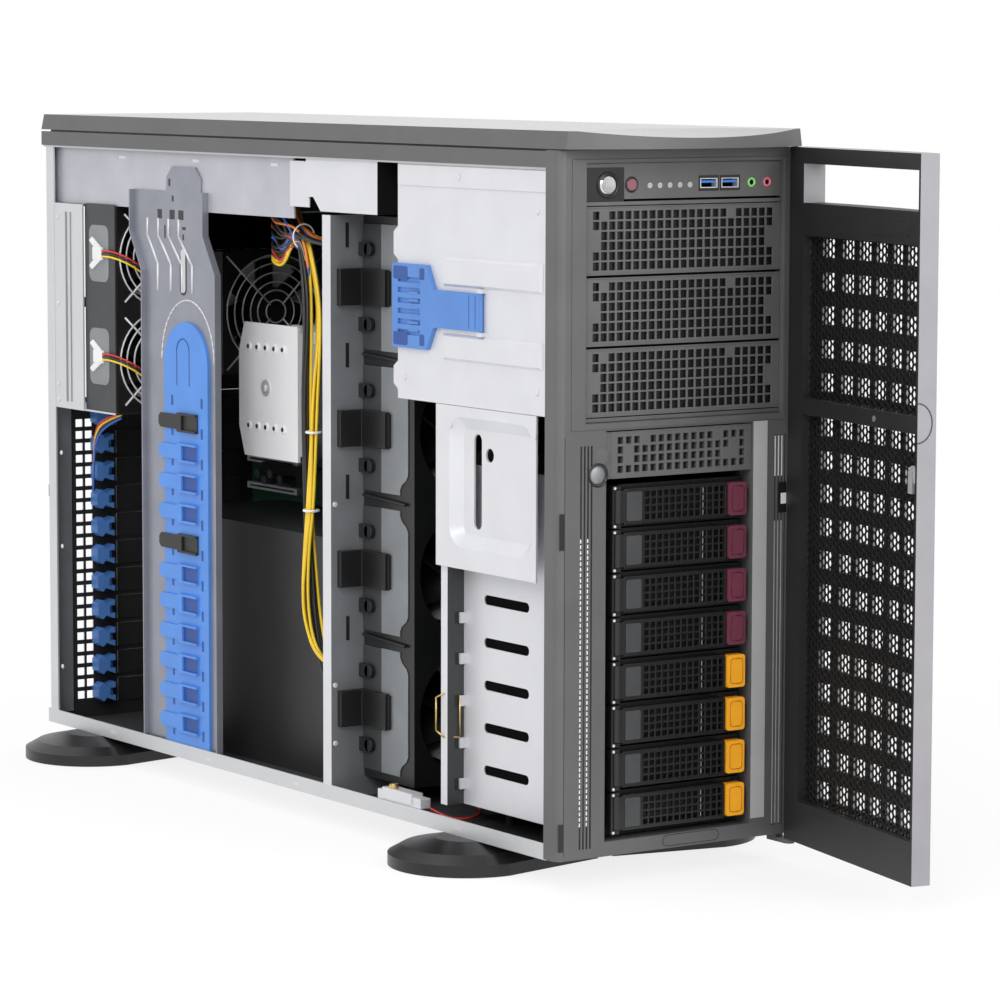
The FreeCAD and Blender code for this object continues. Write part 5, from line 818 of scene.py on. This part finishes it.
def fan_wall_detail():
    """Screws and slots of the fan wall, the slots black as painted shade, and the flaps, latches and clips
    on the fans' sides.
    """
    screws, slots, clips, flaps, plates = shapes(5)
    for z in (36.6, 75, 194):
        screws.screw("y", -84.5, z, WALL_FACE, -1, 1.8)
    # Black sheets for the slots: painted shade in the openings
    for z in (369, 291, 205, 112):
        slots.box(-76, -73.4, WALL_FACE - 0.1, WALL_FACE + 0.05, z - 8, z + 8)
    for middle in FAN_MIDDLES:
        plates.box(-63, FAN_SIDE, 236, 257.5, middle - FAN_HALF, middle + FAN_HALF)
        bulge = [(236, middle - FAN_HALF), (236, middle + FAN_HALF)]
        for k in range(25):
            up = FAN_HALF - 2 * FAN_HALF * k / 24
            inset = min(max((abs(up) - 28) / 9, 0), 1)
            bulge.append((204.5 + 9.5 * inset * inset * (3 - 2 * inset), middle + up))
        flaps.prism("x", bulge, -62.8, FAN_SIDE)
        clips.prism("z", [(-83, 257.9), (-83, 253.5), (-66.5, 253.5), (-66.5, 226), (-62.1, 226),
                          (-62.1, 257.9)], middle - 12, middle + 12)
        for z in (middle - 24.5, middle + 24.5):
            clips.rod("x", 247, z, 4.5, -66.5, -63, sides=20)
            clips.box(-66.5, -63, 247, 257.8, z - 4.5, z + 4.5)
    for middle in FAN_MIDDLES[1:]:
        clips.strut((-63.6, 256.5, middle - 44), (-63.6, 206, middle - 46.5), 1.2)
    screws.make("fan_wall_screws", BRIGHT_STEEL, bevel=0.15)
    slots.make("fan_wall_slot_shade", SATIN_BLACK)
    plates.make("fan_side_plates", DARK_STEEL, bevel=0.3)
    flaps.make("fan_side_flaps", MID_STEEL, bevel=0.2)
    clips.make("fan_wall_clips", SATIN_BLACK, bevel=0.7)


def wire(name, material, points, thickness):
    """A round wire on a smooth curve through the casing."""
    data = bpy.data.curves.new(name, "CURVE")
    data.dimensions = "3D"
    data.bevel_depth = thickness / 2000
    data.bevel_resolution = 2
    data.resolution_u = 6
    spline = data.splines.new("NURBS")
    spline.points.add(len(points) - 1)
    for knot, point in zip(spline.points, points):
        knot.co = tuple(metres(*point)) + (1,)
    spline.order_u = 3
    spline.use_endpoint_u = True
    data.materials.append(material)
    made = shown(name, data)
    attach(made, "chassis")
    return made


def wire_looms():
    """Loose bundles of single wires in place of the loom's plain tubes."""
    spread = random.Random(7)
    main = [(-52, 377, 396), (-55, 362, 391), (-63, 345, 376), (-70, 322, 367),
            (-72, 296, 363), (-69, 276, 361), (-68, 260, 361)]
    down = [(-69, 324, 367), (-76, 307, 344), (-79, 300, 310), (-78, 304, 262),
            (-76, 306, 200), (-74, 305, 150), (-71, 300, 100), (-68, 284, 56),
            (-68, 260, 56)]
    bright = [(-69, 316, 366), (-70, 303, 340), (-71, 296, 308), (-77, 294, 255),
              (-78, 297, 190), (-78, 303, 160), (-78, 306, 124), (-76, 301, 98),
              (-74, 288, 86), (-73, 270, 84), (-73, 260, 86)]
    mixed = [WIRE_BLACK] * 11 + [WIRE_ORANGE, WIRE_BLUE, WIRE_RED, WIRE_YELLOW]
    groups = (("main", main, 6.5, 2.4, mixed),
              ("down", down, 3.6, 2.2, [WIRE_BLACK] * 7 + [WIRE_YELLOW]),
              ("bright", bright, 3.2, 2.2, [WIRE_YELLOW] * 6 + [WIRE_BLACK]))
    for group, route, reach, thickness, colours in groups:
        for index, colour in enumerate(colours):
            turn = 2 * math.pi * index / len(colours)
            size = reach * (0.45 if index % 3 == 0 else 1)
            points = []
            for x, y, z in route:
                twist = turn + spread.uniform(-0.5, 0.5)
                points.append((x + size * math.cos(twist) * 0.8, y + size * math.sin(twist),
                               z + spread.uniform(-1, 1)))
            points[-1] = (points[-1][0], LOOM_END, points[-1][2])
            wire("wire_" + group + "_" + str(index), colour, points, thickness)
    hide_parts("cable_loom")


def upper_leads():
    """Coloured single leads that cross over the main bundle under the roof."""
    spread = random.Random(11)
    colours = (WIRE_BLUE, WIRE_BLACK, WIRE_ORANGE, WIRE_BLACK, WIRE_BLACK, WIRE_RED, WIRE_BLACK, WIRE_BLACK,
               WIRE_BLACK, WIRE_BLUE, WIRE_BLACK, WIRE_BLACK, WIRE_RED, WIRE_BLACK, WIRE_YELLOW, WIRE_YELLOW)
    for index, colour in enumerate(colours):
        rise = 380 - 2.2 * index
        points = [(-50, 392 - index, rise + 4), (-58, 380, rise + 2),
                  (-66, 362, rise + spread.uniform(-3, 3)),
                  (-71, 344 + spread.uniform(-4, 4), rise - 4 + spread.uniform(-4, 4)),
                  (-74, 326 + spread.uniform(-4, 4), 366 + spread.uniform(-6, 6)),
                  (-74, 312, 358 + spread.uniform(-6, 6)), (-74, 305, 342 - index),
                  (-74, 305, 318)]
        wire("upper_lead_" + str(index), colour, points, 2.1)


def fan_leads():
    """Three leads from the plug of each exhaust fan."""
    for index, z in enumerate(REAR_FAN_Z):
        for step, colour in enumerate((WIRE_RED, WIRE_BLACK, WIRE_YELLOW)):
            high = z + REAR_PLUG_RISE + 2 - 2 * step
            wire("fan_lead_" + str(index) + "_" + str(step), colour,
                 [(-86.4, 564, high), (-86.8, 556, high + 0.5), (-86.4, 549, high),
                  (-82.5, 541.5, high - 2), (-74, 537, high - 7), (-60, 540, high - 16),
                  (-56, 544, high - 18)], 1.5)


def slot_leads():
    """Leads that run down behind the card slots' clips."""
    for index, colour in enumerate((WIRE_RED, WIRE_YELLOW, WIRE_BLACK, WIRE_BLUE)):
        wire("slot_lead_" + str(index), colour,
             [(-72, 562, 230 - index), (-78, 578, 226 - 2 * index),
              (-76, 594, 216 - 3 * index), (-72, 604, 196 - 3 * index),
              (-68, 612, 170)], 1.6)


def wire_ties():
    """White ties round the bundles."""
    ties = Shape()
    ties.ring("y", -70.5, 365.5, 8.2, 318, 0.55, turns=28)
    ties.ring("z", -77.5, 295, 4.9, 238, 0.9, turns=24)
    ties.ring("z", -78, 297.5, 4.9, 186, 0.9, turns=24)
    ties.make("wire_ties", WHITE, smooth=True)


def latch_detail():
    """Corner pockets and two lines of the blue latch, in darker blue as painted shade, and its ribs."""
    pockets, ribs = shapes(2)
    face = LATCH_FACE
    # Darker blue pockets and lines: painted shade
    for low, high in ((303.6, 312), (345, 353.4)):
        pockets.prism("x", rounded(164, 180.4, low, high, 1.5), face - 0.15, face)
        pockets.prism("x", rounded(145, 150.5, low + 0.6, high - 0.6, 1.2), face - 0.15, face)
    for index in range(7):
        z = 312.8 + index * 4.7
        ribs.box(face - 0.4, face, 152, 162.5, z, z + 1.5)
    for y in (88, 95):
        pockets.box(face - 0.15, face + 0.05, y, y + 0.7, 318, 338.5)
    pockets.make("latch_pocket_shade", BLUE_SHADE, "cage_latch", bevel=0.05)
    ribs.make("latch_ribs", BLUE, "cage_latch", bevel=0.15)


def cage_detail():
    """Black sheet behind the cage's slots and black squares by its tabs as painted shade, and the tabs,
    loops and screws on the plates.
    """
    panel, tabs, holes, loops, screws = shapes(5)
    # Black sheet behind the slots: painted shade
    panel.box(-68.7, -68.4, 50, 112, 17, 226)
    panel.make("cage_slot_shade", PAINTED_DEEP_SHADE)
    for z in (133.8, 107.8, 81, 54.2, 28):
        tabs.box(-74, -70, 126.6, 128.6, z - 3.4, z + 3.4)
        # Black squares by the tabs: painted shade in the holes
        holes.box(-77, -71.5, 128.65, 128.78, z - 3.8, z + 3.8)
    tabs.make("cage_tabs", BRIGHT_STEEL, bevel=0.15)
    holes.make("cage_hole_shade", SATIN_BLACK)
    loops.trace([(-82.8, 132, 86), (-85.6, 137, 83), (-85.6, 137, 62), (-82.8, 132, 58),
                 (-74, 127.4, 58), (-74, 127.4, 84)], 0.6)
    loops.make("cage_wire_loops", BRASS, smooth=True)
    screws.box(CAGE_PLATE - 0.8, CAGE_PLATE, 14.5, 179, 404, 417)
    screws.screw("x", 110, 410.5, CAGE_PLATE - 0.8, -1, 1.9)
    for y, z in ((26, 283), (26, 392), (172, 283), (28, 256.5), (120, 256.5)):
        screws.screw("x", y, z, CAGE_PLATE, -1, 1.7)
    screws.box(-84.9, -84, 288, 312, 386, 416)
    screws.make("cage_screws", BRIGHT_STEEL, bevel=0.15)


def base_detail():
    """Clips of the base's lip, and the holes, screws and folds of the rear edge; holes and folds dark as
    painted shade.
    """
    clips, holes, screws, folds = shapes(4)
    for y in (550, 416, 303, 109):
        clips.box(-87.6, -85, y - 3.5, y + 3.5, 2.2, 4.6)
    clips.make("base_clips", BRIGHT_STEEL, bevel=0.2)
    # Black sheets in the holes: painted shade
    for y, z, wide, tall in ((635.6, 179.9, 3.4, 3.4), (636, 155, 3.4, 3.4), (643, 169, 1.6, 9)):
        outline = rounded(y - wide / 2, y + wide / 2, z - tall / 2, z + tall / 2, wide * 0.45)
        holes.prism("x", outline, REAR_EDGE - 0.35, REAR_EDGE)
    holes.make("rear_edge_hole_shade", SATIN_BLACK)
    for y, z in ((624, 198), (624, 130), (641, 67), (625, 42)):
        screws.screw("x", y, z, REAR_EDGE, -1, 1.6)
    for z in (368, 306, 248, 236.5):
        screws.screw("x", 627, z, BAY_PLATE, -1, 1.6)
    screws.make("rear_edge_screws", BRIGHT_STEEL, bevel=0.1)
    # Darker strips at the folds: painted shade
    for y, width in ((613, 1.8), (607, 0.9)):
        folds.box(BAY_PLATE - 0.6, BAY_PLATE + 0.1, y, y + width, 236, 372)
    folds.make("fan_bay_fold_shade", MID_STEEL, bevel=0.2)


def rail_detail():
    """Mid-grey strip on the rear wall by the card slots as painted shade, and the pressed lines of the
    supplies' rail in bright steel as painted highlight.
    """
    strip, lines = shapes(2)
    # Mid-grey strip over the rear panel's inner face: painted shade
    strip.box(-86, -70.2, 640.2, 641.2, 6, 231)
    strip.make("rear_wall_shade_strip", MID_STEEL, bevel=0.1)
    # Bright steel on the pressed lines: painted highlight
    for z in (393, 404.5):
        lines.strut((-82.1, 314, z), (-82.1, 620, z), 0.5)
    for y in (330, 432, 534):
        lines.box(-83.2, -82, y, y + 9, 411.5, 413.5)
    lines.make("rail_line_highlights", BRIGHT_STEEL)


def rear_ports():
    """Shield in the rear wall's port opening, with the sockets that show through it; a dark sheet behind it
    and black sheets in the sockets are painted shade.
    """
    shade, shield, rims, holes = shapes(4)
    # Near-black sheet behind the shield: painted shade
    shade.box(*PORT_X, PORT_FACE - 1.6, PORT_FACE - 1, *PORT_Z)
    shade.make("port_shield_shade", PAINTED_SHADE_STEEL)
    shield.box(*PORT_X, PORT_FACE - 1, PORT_FACE, *PORT_Z)
    shield.make("port_shield", STEEL, bevel=0.15)
    for rise, wide, tall in ((6, 16, 14), (26, 14, 13), (46, 14, 13), (68, 30, 11),
                             (90, 14, 15), (112, 30, 12)):
        low = PORT_Z[0] + rise
        left, right = PORT_MIDDLE - wide / 2, PORT_MIDDLE + wide / 2
        rims.plate([left - 0.8, left, right, right + 0.8], [low - 0.8, low, low + tall, low + tall + 0.8],
                   {(1, 1)}, PORT_FACE, PORT_FACE + 0.6)
        # Black sheets in the sockets: painted shade
        holes.box(left, right, PORT_FACE - 0.05, PORT_FACE + 0.1, low, low + tall)
    rims.make("port_rims", BRIGHT_STEEL)
    holes.make("port_opening_shade", SATIN_BLACK)


def interlock():
    """Roller switch on the base by the side cover's edge, with its red lead."""
    case, roller = shapes(2)
    case.box(-87, -79, 153, 203, 9, 15.5)
    case.box(-88, -79, 162, 196, 10.4, 17.6)
    case.make("interlock_case", BRIGHT_STEEL, bevel=0.4)
    roller.rod("z", -85.5, 186, 3, 17.6, 20.6, sides=20)
    roller.make("interlock_roller", BRASS, bevel=0.3)
    wire("interlock_lead", WIRE_RED, [(-80, 156, 9.8), (-76, 148, 6), (-72, 138, 3.6),
                                      (-60, 134, 3.4), (-40, 150, 3.4), (-30, 175, 3.4)], 1.8)


def board_detail():
    """Memory, sockets, chips, capacitors and plugs of the main board."""
    frames, chips, cans, plugs, memory, blocks = shapes(6)
    for index in range(4):
        z = 318 + index * 9.5
        for y in (302, 446):
            frames.box(69.5, BOARD_FACE, y - 6, y + 130, z - 3.2, z + 3.2)
            memory.box(54, 70, y, y + 124, z - 0.7, z + 0.7)
    for y, z, half in ((300, 120, 13), (345, 60, 9), (520, 236, 7), (330, 180, 6)):
        chips.box(75.4, BOARD_FACE, y - half, y + half, z - half, z + half)
    for index in range(14):
        y = 296 + (index % 7) * 15
        z = 196 + (index // 7) * 8
        cans.rod("x", y, z, 3.1, 68, BOARD_FACE, sides=16)
    for index in range(6):
        z = 30 + index * 22
        plugs.box(66, BOARD_FACE, 290, 302, z, z + 16)
    for y, low, high in ((596, 250, 282), (600, 288, 318), (604, 324, 342)):
        blocks.box(52, BOARD_FACE, y, 632, low, high)
    blocks.make("rear_port_blocks", DARK_STEEL, bevel=0.4)
    for z in (166, 186):
        frames.box(70, BOARD_FACE, 556, 626, z - 2.4, z + 2.4)
        chips.box(69.9, 70.1, 560, 622, z - 0.7, z + 0.7)
    for y, z in ((606, 176), (596, 172), (588, 177), (574, 174)):
        cans.rod("x", y, z, 3.4, 66, BOARD_FACE, sides=18)
    frames.make("memory_sockets", RAIL_STEEL, bevel=0.3)
    memory.make("memory_cards", BOARD, bevel=0.1)
    chips.make("board_chips", SATIN_BLACK, bevel=0.2)
    cans.make("board_capacitors", DARK_STEEL, bevel=0.3)
    plugs.make("board_plugs", WHITE, bevel=0.4)


def seen_directly(tree):
    """One for rays from the camera and those that shine off or pass through the object."""
    paths = tree.nodes.new("ShaderNodeLightPath").outputs
    seen = output(tree, "Math", "Value", {0: paths["Is Camera Ray"], 1: paths["Is Glossy Ray"]}, "MAXIMUM")
    return output(tree, "Math", "Value", {0: seen, 1: paths["Is Transmission Ray"]}, "MAXIMUM")


def floor_material():
    """White ground that keeps the object's shadow and fades into the background."""
    pale = bpy.data.materials.new("pale_floor")
    pale.use_nodes = True
    tree = pale.node_tree
    shader = tree.nodes["Principled BSDF"]
    fill(tree, shader, {"Base Color": (0.93, 0.93, 0.93, 1), "Roughness": 0.8, "Specular IOR Level": 0.1})
    glow = output(tree, "Emission", "Emission", {"Color": (1, 1, 1, 1), "Strength": 1})
    place = output(tree, "TexCoord", "Object", {})
    far = output(tree, "VectorMath", "Value", {0: place}, "LENGTH")
    share = output(tree, "MapRange", "Result", {"Value": far, "From Min": 0.35, "From Max": 0.75,
                                                "To Min": FLOOR_GLOW, "To Max": 1})
    direct = output(tree, "Math", "Value", {0: share, 1: seen_directly(tree)}, "MULTIPLY")
    both = output(tree, "MixShader", "Shader", {"Fac": direct, 1: shader.outputs["BSDF"], 2: glow})
    fill(tree, tree.nodes["Material Output"], {"Surface": both})
    return pale


def lamp(name, place, target, size, power):
    """A soft square lamp that faces a point."""
    light = bpy.data.lights.new(name, "AREA")
    light.size = size
    light.energy = power
    made = shown(name, light)
    made.location = place
    made.rotation_euler = (Vector(target) - Vector(place)).to_track_quat("-Z", "Y").to_euler()


def studio():
    """White floor and background, and soft light from the front and left."""
    floor = bpy.data.meshes.new("floor")
    floor.from_pydata([(-6, -6, 0), (6, -6, 0), (6, 6, 0), (-6, 6, 0)], [], [(0, 1, 2, 3)])
    ground = shown("floor", floor)
    ground.location.z = -0.0004
    floor.materials.append(floor_material())
    world = bpy.data.worlds.new("studio")
    bpy.context.scene.world = world
    world.use_nodes = True
    tree = world.node_tree
    level = output(tree, "MapRange", "Result", {"Value": seen_directly(tree), "To Min": 0.62, "To Max": 1})
    fill(tree, tree.nodes["Background"], {"Color": (1, 1, 1, 1), "Strength": level})
    lamp("key", (-2.2, -1.6, 1.9), (0, 0.05, 0.2), 1.6, 42)
    lamp("front", (0.4, -2.6, 1.2), (0, -0.1, 0.2), 1.5, 32)
    lamp("top", (-0.3, 0.2, 2.4), (0, 0.1, 0.2), 1.8, 20)


def photo_camera():
    """The camera of the photograph."""
    azimuth, elevation, roll = (math.radians(angle) for angle in (-34.43, 6.4, 0.14))
    back = Vector((math.sin(azimuth) * math.cos(elevation), -math.cos(azimuth) * math.cos(elevation),
                   math.sin(elevation)))
    right = (-back).cross(Vector((0, 0, 1))).normalized()
    up = right.cross(-back)
    rolled_right = right * math.cos(roll) + up * math.sin(roll)
    rolled_up = up * math.cos(roll) - right * math.sin(roll)
    turn = Matrix((rolled_right, rolled_up, back)).transposed().to_4x4()
    data = bpy.data.cameras.new("photo_camera")
    data.sensor_width = 36
    data.lens = 150.87
    data.shift_x = 0.0004
    data.shift_y = 0.0117
    data.clip_start = 0.05
    made = shown("photo_camera", data)
    made.matrix_world = Matrix.Translation(metres(-1528.88, -2038.73, 493.63)) @ turn
    bpy.context.scene.camera = made


for step in (paint_nodes, paint_inside, paint_door, door_detail, bay_covers, tray_levers, tray_faces,
             door_honeycomb, front_panel_detail, bezel_detail, rear_fan_covers, cooler_detail,
             bracket_detail, strip_groove_shade, fan_wall_detail, wire_looms, upper_leads, fan_leads, slot_leads,
             wire_ties, latch_detail, cage_detail, base_detail, rail_detail, rear_ports, interlock,
             board_detail, studio, photo_camera):
    step()
bpy.context.scene.view_settings.view_transform = "Standard"
